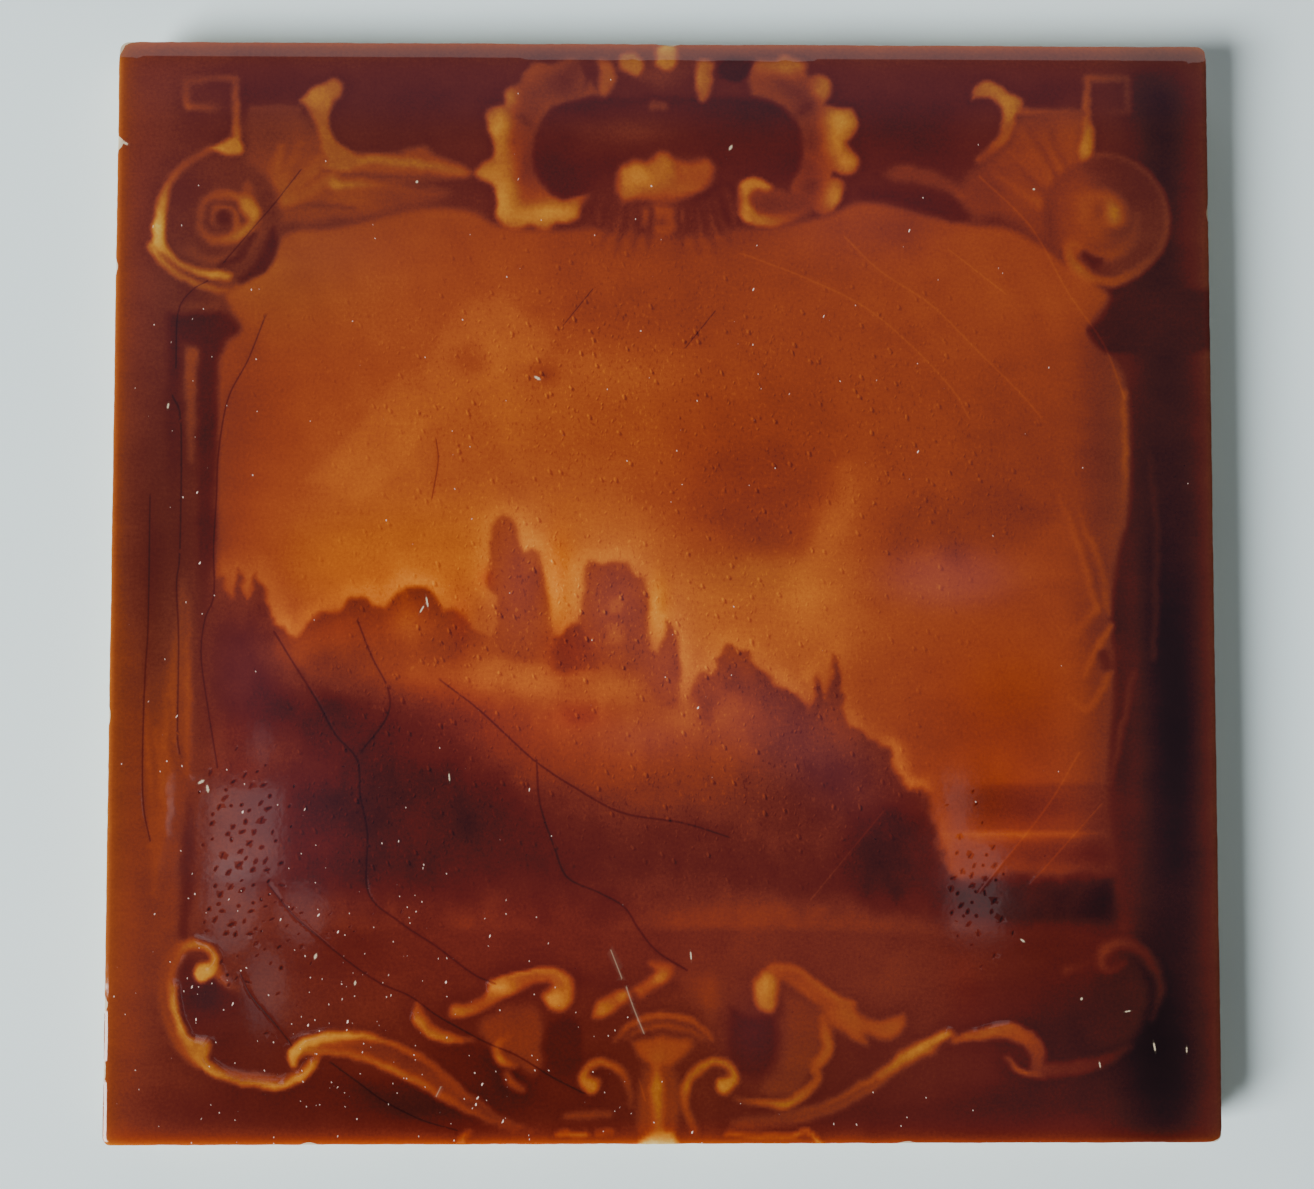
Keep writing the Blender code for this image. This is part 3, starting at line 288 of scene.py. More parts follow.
def upper_right_corner():
    """The same figures facing the other way, with a fuller volute."""
    yield Patch([(49.8, 66), (58.6, 66), (58.2, 60), (60, 54), (58, 46), (54, 47.4), (47.6, 51),
        (42.4, 51.6), (41.4, 56), (46.6, 60.6), (48.6, 63.6)], 66, [(52, 58, 4, 6, 8, -50),
        (45.5, 55, 4, 3, -8), (56.5, 62.5, 2, 3, 6), (57, 51, 2, 4, 10)], soft=1.4)
    for tip_x, tip_y in ((49.4, 63.8), (52.6, 63.4), (55.6, 62.4), (46.0, 57.4)):
        middle = ((tip_x + 57.4) / 2 + 0.9, (tip_y + 48.4) / 2 + 0.3)
        yield Stroke([(57.4, 48.4), middle, (tip_x, tip_y)], [0.4, 0.8, 0.4], [84, 80, 72], soft=0.8)
    for tip_x, tip_y in ((50.8, 64.0), (54.0, 63.4), (48.0, 59.6)):
        middle = ((tip_x + 57) / 2 + 0.9, (tip_y + 49) / 2 + 0.3)
        yield Stroke([(57, 49), middle, (tip_x, tip_y)], [0.2, 0.3, 0.2], 63, soft=0.6)
    yield Patch([(30.5, 57.4), (33, 58.6), (37, 58), (40.8, 55.8), (41.8, 53.8), (39.4, 54.8),
        (35.6, 56.2), (32, 56.4)], 62, [(41, 54, 1, 1, 10)], soft=0.8)
    yield Patch([(27, 55.4), (32, 55.4), (38, 54.8), (42.4, 52), (40.6, 50.8), (36, 52.4), (31, 53.6),
        (27.4, 53.8)], 43, soft=0.7)
    yield Patch(around((61.4, 51.3), [(turn, 8.6) for turn in range(0, 360, 30)]), 53,
        [(57.2, 53, 3.4, 6, 20), (60, 48, 4, 2, 12), (66.5, 55, 3, 4, -5), (63, 58, 4, 2, -3)], soft=0.9)
    rim = around((61.4, 51.3), [(120, 9), (80, 8.9), (40, 8.7), (0, 8.6), (-35, 8.6), (-70, 8.9),
        (-95, 8.9), (-120, 8.1), (-143, 6.8)])
    yield Stroke(rim, [0.2, 0.3, 0.4, 0.5, 0.5, 0.7, 0.8, 0.9, 0.6], [70, 60, 56, 60, 60, 70, 78, 92, 80])
    yield Stroke(around((61.2, 51), [(215, 5.6), (250, 5.2), (290, 4.8), (330, 4.6), (10, 4.6)]),
        [0.5, 0.9, 0.9, 0.7, 0.3], [82, 72, 70, 62, 58], soft=0.7)
    yield Stroke([(58.4, 46), (60, 45.2), (61, 45.4)], [0.5, 0.8, 0.3], 42)
    yield Patch([(57.4, 51), (57.8, 54.4), (60.4, 55.4), (62.8, 54.6), (64.4, 52.6), (63.8, 50),
        (61.6, 49.8), (59.6, 49)], 76, [(62.6, 52, 0.9, 1.7, 26, 12), (57.8, 52.4, 1.4, 3, 4),
        (60.7, 52.4, 0.8, 1.4, -12)], soft=1)
    yield Stroke([(59, 61.8), (59.1, 71), (64.7, 71.1), (64.7, 66.5), (60.6, 66.3)], 0.5,
        [94, 70, 58, 54, 50], square=True)
    yield Stroke([(49.6, 66.4), (58.6, 66.1)], 0.4, [80, 62], square=True)
    yield Patch([(57.6, 60.4), (58.2, 62.2), (59, 64), (59.7, 64), (59.9, 61.6), (59.4, 59.8),
        (58.2, 59.4)], 98, [(58.9, 60.8, 1, 1, 10)])
    head = [(43.1, 67.8), (43.2, 69.6), (44.8, 70.6), (46.8, 70), (48.6, 68.6), (50.2, 67.4), (49.2, 66),
        (48.8, 64.2), (47.8, 62.2), (46, 60.2), (43.6, 58.9), (43.4, 59.6), (45.4, 61.4), (46.8, 63.6),
        (47.2, 65.8), (46.4, 67.6), (44.6, 68.2)]
    yield Patch(head, 84, [(45.5, 69.4, 2, 1.4, 18), (48, 67.3, 1.6, 2, 30), (45, 60, 2.4, 1.4, -18)])


def cartouche():
    """Two lobed shells round a dark oval at the middle of the top, with a crest and a fan between."""
    yield Patch([(-14, 67.6), (-8, 68.2), (0, 68.4), (8, 68.4), (14, 67.6), (18.4, 64.6), (19, 60.6),
        (17.2, 56.6), (12, 56.8), (6.6, 57.4), (6, 59.6), (0, 60), (-6, 58.6), (-8, 54.6), (-13, 53.4),
        (-17.6, 56.4), (-18.4, 61), (-17, 65)], 42, [(-5, 63.4, 9, 2.6, 12), (12, 65, 5, 3, -2),
        (-15, 59, 3, 5, -4)], soft=0.7)
    left_shell = [(-9.3, 68.4), (-13.2, 67.6), (-16.4, 65.8), (-18, 62.6), (-18.4, 59.2), (-17.4, 56),
        (-14.8, 53.6), (-12.4, 54), (-9.2, 54.6), (-11.6, 52.2), (-12.6, 50.6), (-14.8, 50.3),
        (-16.6, 49), (-18.6, 50.1), (-20.8, 49.5), (-23.2, 50.8), (-23.4, 53.6), (-23.9, 55.6),
        (-26.6, 57.2), (-24, 59.4), (-23.8, 61.3), (-24.5, 63.6), (-24.6, 66.2), (-22.4, 66.9),
        (-22.2, 69), (-20.4, 69.6), (-19.6, 71.6), (-17.8, 73), (-15.6, 72.6), (-12.4, 73.6)]
    left_marks = [(-23, 64.2, 1.5, 2.4, 46), (-21.6, 68, 1.2, 1.4, 26), (-22.4, 60, 2, 3, 20),
        (-25, 57.3, 1.6, 1, 34), (-22.4, 54, 1.9, 3.2, 48), (-18, 51.2, 4.5, 1.6, 42),
        (-14, 52, 3.4, 1.2, 36), (-10.6, 54, 1.6, 0.8, 14), (-18, 71.2, 2, 2, 8), (-14, 70, 3, 2.4, -14),
        (-19.6, 57.6, 1.2, 3, -8), (-16, 53.9, 2, 0.8, 10), (-21, 61.8, 0.7, 1.6, -12),
        (-20.5, 65.4, 2.2, 0.6, -8, -30), (-12, 72.6, 2, 1.6, -12)]
    left_marks += [(-18.4, 60, 2.4, 6, -14), (-19, 67, 2.4, 4, -8), (-15, 70, 4, 3, -6),
        (-23.2, 57, 1.6, 6, 10)]
    yield Patch(left_shell, 74, left_marks)
    yield Stroke([(-8.6, 73.4), (-7.9, 71), (-8.4, 68.8)], [0.9, 1.1, 0.8], [78, 84, 82], soft=0.6)
    yield Stroke([(-10.9, 73.6), (-10.4, 71.4), (-10.9, 69.4)], [0.6, 0.6, 0.3], [50, 46, 56])
    right_shell = [(12.4, 68.4), (11.6, 71), (12.6, 73.2), (15.2, 73.6), (16.8, 74.4), (18.4, 73.6),
        (19.8, 73), (19.8, 71.3), (21.6, 71.4), (23.1, 70.6), (23.2, 68.8), (22.4, 67.2), (24.2, 66.8),
        (26.2, 66.4), (27, 64.6), (26.4, 63), (25.4, 61.8), (26.6, 60.6), (27.2, 59), (26.4, 57.4),
        (24.8, 57.2), (23.6, 57.8), (23.4, 56.9), (25.2, 56.2), (24.8, 54), (23.2, 52), (21.2, 51.7),
        (19.8, 53.4), (17.4, 55.2), (18.8, 58), (19.4, 61.8), (18.2, 65), (15.6, 67.4)]
    right_marks = [(17.4, 72.4, 2.6, 1.4, 26), (14, 72.6, 2, 1.2, 12), (22, 69.6, 1.4, 1.8, 34),
        (24.6, 65, 2, 1.9, 48), (24, 61.8, 1.4, 2.2, 40), (25.6, 59, 1.5, 1.5, 46),
        (23.6, 54.2, 1.6, 2, 46), (20.6, 55.6, 2.4, 1, -6), (19.6, 66.5, 2.6, 0.7, -10, 40),
        (20.6, 62, 1.2, 2.6, -5), (21, 59.2, 2.6, 0.6, 8, -30), (17, 69.6, 2.6, 1, -6, -35)]
    right_marks += [(20, 61, 2, 7, -12), (19, 68, 2.4, 3, -8), (15.6, 70.6, 3, 2, -6), (21, 55, 2, 2, -6)]
    yield Patch(right_shell, 73, right_marks)
    shell_curl = [(14.4, 55.4), (12.6, 56), (11, 55), (10.7, 53), (11.9, 51.3), (14.4, 50.6),
        (17.4, 51.2), (19.6, 52.6)]
    yield Patch([(11.6, 55), (14.8, 55.4), (18.6, 54.4), (20.8, 52.6), (18, 50.4), (13.6, 50.2),
        (11.2, 51.8)], 62, [(14.5, 53.2, 1.6, 0.9, -8)], soft=0.6)
    yield Stroke(shell_curl, [0.6, 0.8, 0.9, 0.9, 0.9, 0.8, 0.6, 0.3],
        [104, 110, 116, 118, 110, 94, 74, 64])
    yield Patch([(-12, 74.4), (-12, 73.2), (-9, 73.6), (-6.6, 72.6), (-6, 70.4), (-2.4, 69.4),
        (0.6, 69.2), (3, 70.6), (4.6, 72.6), (7.8, 73.6), (11.4, 74.4), (11.4, 76.4), (-12, 76.4)], 52,
        [(-1.5, 71, 3, 1.4, 10), (-6, 70.5, 2, 1, -4)], soft=0.7)
    yield Patch([(-6.2, 72), (-5.9, 73.8), (-4.6, 74.6), (-3.4, 73.8), (-2.9, 72.2), (-4.2, 71)], 98)
    yield Patch([(-1.3, 72.8), (-1, 75), (0.4, 76.2), (1.7, 75), (1.8, 73.2), (0.4, 72)], 106,
        [(0.3, 75.6, 1.4, 1, 22)])
    yield Patch([(4.4, 69.4), (4.3, 72), (5, 73.4), (6.8, 73), (6.6, 70.6), (6.2, 68.4), (5.4, 67.4)], 88,
        [(5, 71.4, 0.8, 1.6, 14)])
    yield Patch([(7.6, 71), (7.8, 73.2), (10, 73.9), (12.2, 73.2), (11.6, 71), (9.4, 70.2)], 38)
    yield Stroke([(-1.6, 66.9), (-0.4, 66.9)], 0.7, 62)
    fan = [(-6.6, 55.4), (-6.2, 57.8), (-4.6, 58.8), (-2.2, 58.9), (-0.9, 60.2), (0.3, 60.2), (1.4, 59.2),
        (4, 58.8), (6, 59), (6.8, 57.8), (6.4, 56.2), (4.2, 54.6), (0.2, 53.4), (-3.6, 53.8),
        (-5.8, 53.2)]
    yield Patch([(4, 54.6), (8.8, 57), (10.6, 53.6), (9.8, 50.4), (7.4, 49), (5, 49.6), (3.2, 51.6)], 42,
        soft=1.1)
    yield Patch([(-4.4, 53.4), (-8.2, 57.4), (-11, 53.6), (-10, 50.6), (-7.2, 49.2), (-4.6, 50.2)], 47,
        soft=1.1)
    yield Patch([(-3.4, 52), (-0.4, 52.9), (2.8, 51.8), (2, 49.6), (-0.4, 48.4), (-2.8, 49.8)], 76,
        [(-0.2, 50.5, 0.9, 0.7, -18)], soft=0.7)
    yield Patch(fan, 90, [(-3.4, 57, 2.6, 1.4, 30), (0, 58.4, 1.2, 1.4, 14), (-5.2, 55.6, 1, 1.6, 12),
        (4.6, 57, 3, 2, -9), (1.8, 58, 0.5, 1.8, -8, 12), (0.4, 53.8, 4, 1, -16),
        (-1.6, 57, 0.5, 1.8, -6, -14)], soft=0.9)
    reeds = [(-40, 16.6), (-32, 19.4), (-24, 19.6), (-16, 18.8), (-8, 18.0), (9, 18.0), (17, 19.0),
        (25, 19.6), (33, 19.4), (41, 17.0)]
    for lean, length in reeds:
        reed = around((0, 64.5), [(270 + lean, 12.5), (270 + 0.93 * lean, 15.4),
            (270 + 0.84 * lean, length)])
        yield Stroke(reed, [0.5, 0.6, 0.2], [50, 52, 62], soft=0.6)
    for lean, length in ((-28, 17.6), (-20, 17.4), (21, 17.2), (29, 17.8)):
        gap = around((0, 64.5), [(270 + lean, 12.6), (270 + 0.9 * lean, 15.4),
            (270 + 0.84 * lean, length)])
        yield Stroke(gap, [0.15, 0.35, 0.35], [54, 60, 70])


def lower_left_corner():
    """A C-scroll whose foot meets a long band that sinks towards the middle."""
    yield Patch([(-66.6, -54), (-64.8, -50.8), (-60.6, -53.4), (-56, -56), (-50.4, -61.4), (-49.8, -66),
        (-55.6, -67), (-61.6, -65.2), (-65.6, -60.4)], 42, [(-62.4, -55.6, 4, 2.6, -8),
        (-54, -61, 4, 3, 2)], soft=0.9)
    yield Stroke([(-61, -52), (-59.6, -54.2), (-57.6, -55.4)], [0.5, 0.5, 0.3], [84, 70, 50], soft=0.7)
    outer = [(-64, -48.8), (-66, -49.3), (-67.5, -51.4), (-68.1, -54.6), (-67.9, -57.4), (-66.9, -60.4),
        (-65.2, -63.2), (-63.2, -65.2)]
    yield Stroke(outer, [0.4, 0.5, 0.6, 0.5, 0.5, 0.5, 0.5, 0.4], [84, 72, 68, 64, 68, 70, 74, 84],
        soft=0.6)
    body = [(-62.6, -52.9), (-61.1, -51.8), (-61.4, -50.1), (-63.6, -49.1), (-65.8, -50.4),
        (-66.8, -53.2), (-66.7, -56.6), (-65.8, -60), (-64, -63.2), (-61, -65.6), (-57, -66.9),
        (-52.8, -67.2), (-49.6, -66.6), (-47.8, -65.2), (-46.9, -63.9)]
    yield Stroke(body, [0.9, 0.6, 0.5, 0.5, 0.5, 0.5, 0.5, 0.5, 0.6, 0.7, 0.7, 0.6, 0.6, 0.6, 0.3],
        [130, 118, 114, 104, 82, 76, 84, 94, 98, 82, 72, 72, 76, 84, 70])
    # These thin bright lines along the scroll's outer edge are partly painted highlight on its ridge
    yield Stroke([(-66.4, -54.6), (-66.3, -57.2), (-65.4, -60.2), (-63.9, -62.6)], [0.3, 0.4, 0.4, 0.3],
        [96, 122, 126, 112])
    yield Stroke([(-63.8, -63.6), (-61.8, -65.5), (-57.2, -67.5), (-52.6, -67.9), (-49.2, -66.9),
        (-47.5, -65.4), (-46.9, -64.4)], [0.4, 0.5, 0.35, 0.4, 0.45, 0.5, 0.3],
        [104, 128, 104, 126, 138, 124, 90])
    yield Stroke([(-62.7, -52.7), (-62, -52.6)], 1, 142, soft=0.6)
    yield Patch([(-64.4, -61.4), (-62.4, -61.7), (-61.5, -62.4), (-61.7, -64.2), (-60.4, -65.4),
        (-63.2, -64.6)], 104)
    band = [(-50.6, -64.6), (-50.6, -63), (-49, -61.8), (-46.6, -61.1), (-43.4, -60.5), (-39.6, -61),
        (-35.6, -62.3), (-31.6, -64.6), (-28, -67.6), (-23.6, -71.2), (-18, -74.2), (-24, -72.6),
        (-29.4, -69.8), (-33.6, -67.4), (-38, -65.4), (-42.4, -64), (-46.6, -63.8), (-49, -64.2)]
    yield Patch(band, 58, [(-45, -62, 4, 1, 22), (-48.5, -63, 2, 1.4, 16),
        (-34.5, -64.4, 4, 0.7, -6, -27), (-24, -71, 5, 2, -10)])
    yield Stroke([(-50.2, -65), (-50.1, -63.4), (-48.6, -62.2), (-46.2, -61.7), (-43.2, -61.1),
        (-40.6, -61.4), (-37.6, -62.2), (-34, -63.8), (-30.4, -66.2), (-27, -69), (-22.6, -72.2)],
        [0.5, 0.8, 0.7, 0.6, 0.5, 0.4, 0.3, 0.35, 0.4, 0.4, 0.3],
        [122, 138, 140, 134, 134, 114, 96, 80, 68, 62, 54])
    yield Stroke([(-48.6, -63.4), (-46.4, -63.5), (-43.4, -63.6), (-40.2, -64.4), (-36.8, -65.8),
        (-33.4, -67.5), (-29.6, -69.6), (-25.4, -71.8), (-20.4, -73.9)],
        [0.3, 0.4, 0.4, 0.4, 0.45, 0.5, 0.4, 0.4, 0.3], [104, 92, 88, 90, 98, 92, 78, 64, 52])
    yield Stroke([(-27.4, -75.6), (-27.2, -74.8), (-26.4, -74.2)], 0.35, [100, 92, 66])


def lower_right_corner():
    """A band that rises from the middle, breaks at a bright step and ends in a C-scroll."""
    rising = [(9, -72.6), (15, -71.9), (20.5, -70.7), (25.2, -68.6), (29, -66), (32.6, -63.4),
        (36, -61.6), (38.2, -60.7), (39.4, -61.5), (37.6, -62.4), (37, -63.8), (34.6, -64.6), (32, -66.2),
        (28, -69), (24, -71.3), (18, -73.2), (10, -73.8)]
    yield Patch(rising, 64, [(35.6, -62.6, 5, 1.2, 52, 32), (38, -61.2, 1.2, 0.8, 26),
        (29.5, -66.6, 4, 1, 20, 34), (24, -70, 4, 1.6, 6, 25), (13, -72.8, 6, 1.6, -9)], soft=0.7)
    yield Stroke([(11, -73), (18, -72.3), (24, -70.4), (29, -67.4)], [0.2, 0.3, 0.3, 0.2], 56, soft=0.4)
    yield Stroke([(50.6, -65.8), (53, -66), (57, -65.5), (60, -64.8), (63.4, -62.8)],
        [0.6, 1, 1, 0.8, 0.4], [58, 52, 50, 44, 34], soft=0.6)
    outer = [(39.6, -62), (42.4, -61.6), (45.4, -61.1), (48, -61.3), (50.2, -62.6), (51, -64.4),
        (50.6, -66)]
    yield Stroke(outer, [0.4, 0.5, 0.7, 0.9, 1, 0.9, 0.6], [84, 88, 86, 78, 68, 62, 56])
    yield Stroke([(40.6, -61.3), (44, -60.6), (47.4, -60.3), (50, -61.2)], [0.2, 0.35, 0.35, 0.2],
        [92, 94, 86, 72])
    yield Stroke([(46.6, -64.4), (47.6, -65.7), (49.2, -66.5), (51.6, -67)], [0.3, 0.4, 0.35, 0.3],
        [62, 78, 82, 60])
    yield Patch([(58.8, -53.4), (61.4, -52.4), (64.8, -52.8), (66, -56), (65, -60.4), (61.6, -63),
        (57.6, -62.4), (56.6, -57.6)], 34, soft=1.2)
    scroll = [(66.6, -59.2), (67.5, -56), (67.2, -53.2), (65.6, -50.4), (62.8, -49), (60.4, -49.6),
        (59.6, -51.4), (60.9, -52.6), (62.8, -51.8)]
    yield Stroke(scroll, [0.4, 0.6, 0.7, 0.7, 0.7, 0.7, 0.6, 0.5, 0.3],
        [30, 34, 38, 43, 52, 58, 58, 50, 44], soft=0.7)
    yield Stroke([(54.8, -52.6), (56.2, -52.2), (58.8, -51.4)], [0.6, 0.4, 0.3], [52, 46, 42], soft=0.8)


def lower_middle():
    """Two acanthus leaves, a crest and a palmette on a stem between two volutes."""
    yield Patch([(-17.6, -57.2), (-21.6, -57.4), (-25, -59.4), (-24.4, -62), (-21, -64.4), (-17.6, -66.6),
        (-16.2, -62)], 60, soft=1)
    yield Patch([(-15.8, -59.4), (-12, -58.8), (-11.2, -62.6), (-11.8, -65.6), (-14.6, -66.6),
        (-16.6, -63.4)], 35, soft=0.8)
    left_leaf = [(-12.4, -56.8), (-12.2, -54.6), (-13.6, -52.6), (-16.8, -52.2), (-20, -53.3),
        (-23.2, -53.8), (-24.2, -55.8), (-26.4, -56.8), (-28.8, -57.2), (-29.2, -58.8), (-26.6, -58.8),
        (-23.4, -57.2), (-20.6, -55.7), (-17.4, -54.4), (-15.4, -54.4), (-16.4, -55.6), (-16, -57.2),
        (-14.2, -58)]
    yield Patch(left_leaf, 88, [(-22.4, -54.8, 1.8, 0.9, 48), (-28, -58, 1.8, 0.8, 16),
        (-14.7, -56.2, 1.6, 1.2, 48), (-18, -54.8, 2.6, 0.7, -12), (-25.2, -57.4, 1.2, 1, -6)], soft=0.55)
    yield Stroke([(-23.6, -54.2), (-20, -53.2), (-16.8, -52.7), (-14.2, -53.2), (-12.9, -55)],
        [0.2, 0.3, 0.35, 0.35, 0.2], [116, 112, 110, 106, 104], soft=0.4)
    yield Stroke([(-33.2, -57.2), (-33, -59.2), (-31.4, -60.8), (-29, -61.6), (-26, -61.8)],
        [0.4, 0.6, 0.7, 0.5, 0.3], [66, 84, 82, 84, 62])
    yield Stroke([(-33.5, -57), (-33.6, -59.2), (-32.2, -61), (-29.8, -61.9), (-27.4, -62.1)],
        [0.2, 0.35, 0.35, 0.3, 0.2], [76, 114, 110, 106, 78])
    yield Stroke([(-21.4, -61.2), (-22.6, -62.8), (-22.3, -64.4), (-20.4, -65.3)], [0.3, 0.5, 0.6, 0.4],
        [66, 86, 104, 76], soft=0.6)
    yield Stroke([(-21.4, -66.4), (-20.8, -67.6), (-19.2, -68.4)], [0.4, 0.6, 0.4], [66, 76, 66],
        soft=0.6)
    yield Patch([(8.8, -57.4), (12.2, -59), (14.6, -58.8), (15.6, -61.6), (14.6, -65.4), (11.6, -67.2),
        (8.8, -63.4)], 38, soft=0.9)
    yield Patch([(16.4, -55.4), (21, -58.4), (21.4, -62.4), (20, -66), (18.2, -69), (14.8, -69.8),
        (13.2, -68.4), (15.8, -65.4), (16.6, -60.6)], 58, soft=0.9)
    right_leaf = [(12.2, -54.6), (13.2, -52.6), (16, -51.8), (19.4, -53), (22.2, -55.4), (25.2, -56.6),
        (26.6, -58.6), (29.4, -59.3), (32.6, -58.4), (32.4, -60.8), (30, -61.9), (27.4, -61),
        (27.4, -62.6), (24.6, -61.2), (22.2, -59.6), (21, -57.6), (18.4, -55.4), (16.2, -53.9),
        (15.4, -54.6)]
    yield Patch(right_leaf, 76, [(25, -58.6, 2.6, 1.6, 8, -40), (30.6, -60.2, 2, 1.2, 8),
        (18, -53.4, 2, 1, -6), (21.6, -57.4, 1.4, 1.6, -6)], soft=0.7)
    yield Stroke([(14.4, -52.3), (17, -52.2), (20, -53.8), (23, -56), (25.6, -57.2)],
        [0.2, 0.3, 0.3, 0.35, 0.2], [84, 82, 84, 90, 84])
    yield Patch([(12.2, -54), (13.6, -52.7), (15.2, -53.8), (15.5, -56), (14.4, -58.2), (12.8, -57.2)],
        96, [(13.8, -54.8, 1, 1.8, 26)], soft=0.6)
    right_side = [(21.4, -59), (22.2, -61.8), (21.9, -63.8), (20.6, -65.6), (20.7, -67.4), (19.2, -69.2),
        (16.4, -70.7), (12.8, -70.4), (9.8, -69.9)]
    yield Stroke(right_side, [0.5, 0.8, 0.8, 0.7, 0.6, 0.7, 0.6, 0.5, 0.3],
        [74, 86, 84, 78, 76, 84, 100, 78, 60])
    yield Patch([(-9.8, -58.8), (-9.2, -57), (-8.2, -56.2), (-5.6, -55.2), (-4.8, -56.2), (-6.4, -57.6),
        (-8, -58.6)], 86, [(-8.4, -57.8, 1.2, 0.8, 22), (-5.6, -55.9, 1, 0.7, 24)], soft=0.6)
    yield Patch([(-4.6, -55.2), (-2.8, -54), (-1.2, -52.6), (-2, -51.2), (0.8, -51.8), (0.9, -53.4),
        (-0.8, -54.6), (-3, -56.2)], 80, [(-0.7, -53.4, 1.1, 0.9, 28), (-3.8, -55.4, 0.8, 0.6, 8)],
        soft=0.7)
    yield Patch([(1.6, -53.4), (5, -53), (7.6, -53.6), (8, -58), (6.4, -59.6), (4.4, -57.4)], 58,
        [(6, -55.6, 1.6, 2.6, 8)], soft=1.3)
    yield Stroke([(-6.8, -62), (-4.6, -59.7), (-0.4, -58.7), (4, -59.5), (6.4, -61.8)],
        [0.3, 0.4, 0.45, 0.4, 0.3], [64, 78, 86, 78, 68])
    yield Stroke([(-5.4, -61.6), (-3.4, -60.5), (-0.4, -60), (3.2, -60.6), (5.2, -61.8)],
        [0.2, 0.3, 0.35, 0.3, 0.2], [62, 68, 72, 68, 62])
    yield Patch([(-4.4, -62), (-0.4, -61.5), (3.8, -62), (2.8, -63.8), (1.2, -65.4), (-0.6, -66),
        (-2.4, -65.2), (-3.8, -63.8)], 77, [(-0.8, -64.4, 1.4, 1.4, 8)], soft=0.7)
    yield Patch([(-3, -66), (1.4, -66), (1.6, -74.6), (-3.4, -74.6)], 62, soft=0.8)
    yield Stroke([(-1, -65.8), (-1, -68.4), (-0.9, -71.4), (-0.9, -74.4)], [0.6, 0.8, 0.6, 0.8],
        [84, 106, 94, 88], soft=0.7)
    yield Patch([(-3, -75.4), (-1.6, -74.6), (1.2, -74.3), (1.4, -76.4), (-3.2, -76.4)], 128,
        [(-1.2, -75.6, 1.4, 0.6, 18)])
    left_volute = [(-9.8, -67.9), (-10.8, -66.9), (-10.3, -65.6), (-8.2, -64.9), (-5.9, -66),
        (-4.7, -68.4), (-4.4, -70.8)]
    yield Stroke(left_volute, [1, 0.7, 0.5, 0.55, 0.5, 0.4, 0.3], [110, 100, 92, 92, 76, 64, 56],
        soft=0.6)
    right_volute = [(8.3, -68.2), (9.4, -67.2), (8.7, -65.4), (6.4, -65), (4.3, -66.2), (3.1, -68.4),
        (2.9, -70.8), (4.2, -74.2)]
    yield Stroke(right_volute, [1.1, 0.6, 0.5, 0.55, 0.6, 0.6, 0.5, 0.3],
        [118, 104, 98, 100, 98, 96, 76, 70], soft=0.6)
    yield Stroke([(-14.4, -74.5), (-10.8, -74.5)], 0.25, 104, square=True)
    yield Stroke([(-9.2, -74.4), (-7.2, -74.3)], 0.25, 76, square=True)
    yield Stroke([(-13.4, -72.2), (-10.4, -71.8), (-7.4, -72)], [0.3, 0.4, 0.3], 66, soft=0.7)
    yield Stroke([(8.6, -74.5), (13, -75), (17, -74.9), (19.8, -74.4), (21, -75.8)], 0.22,
        [84, 98, 104, 116, 118])


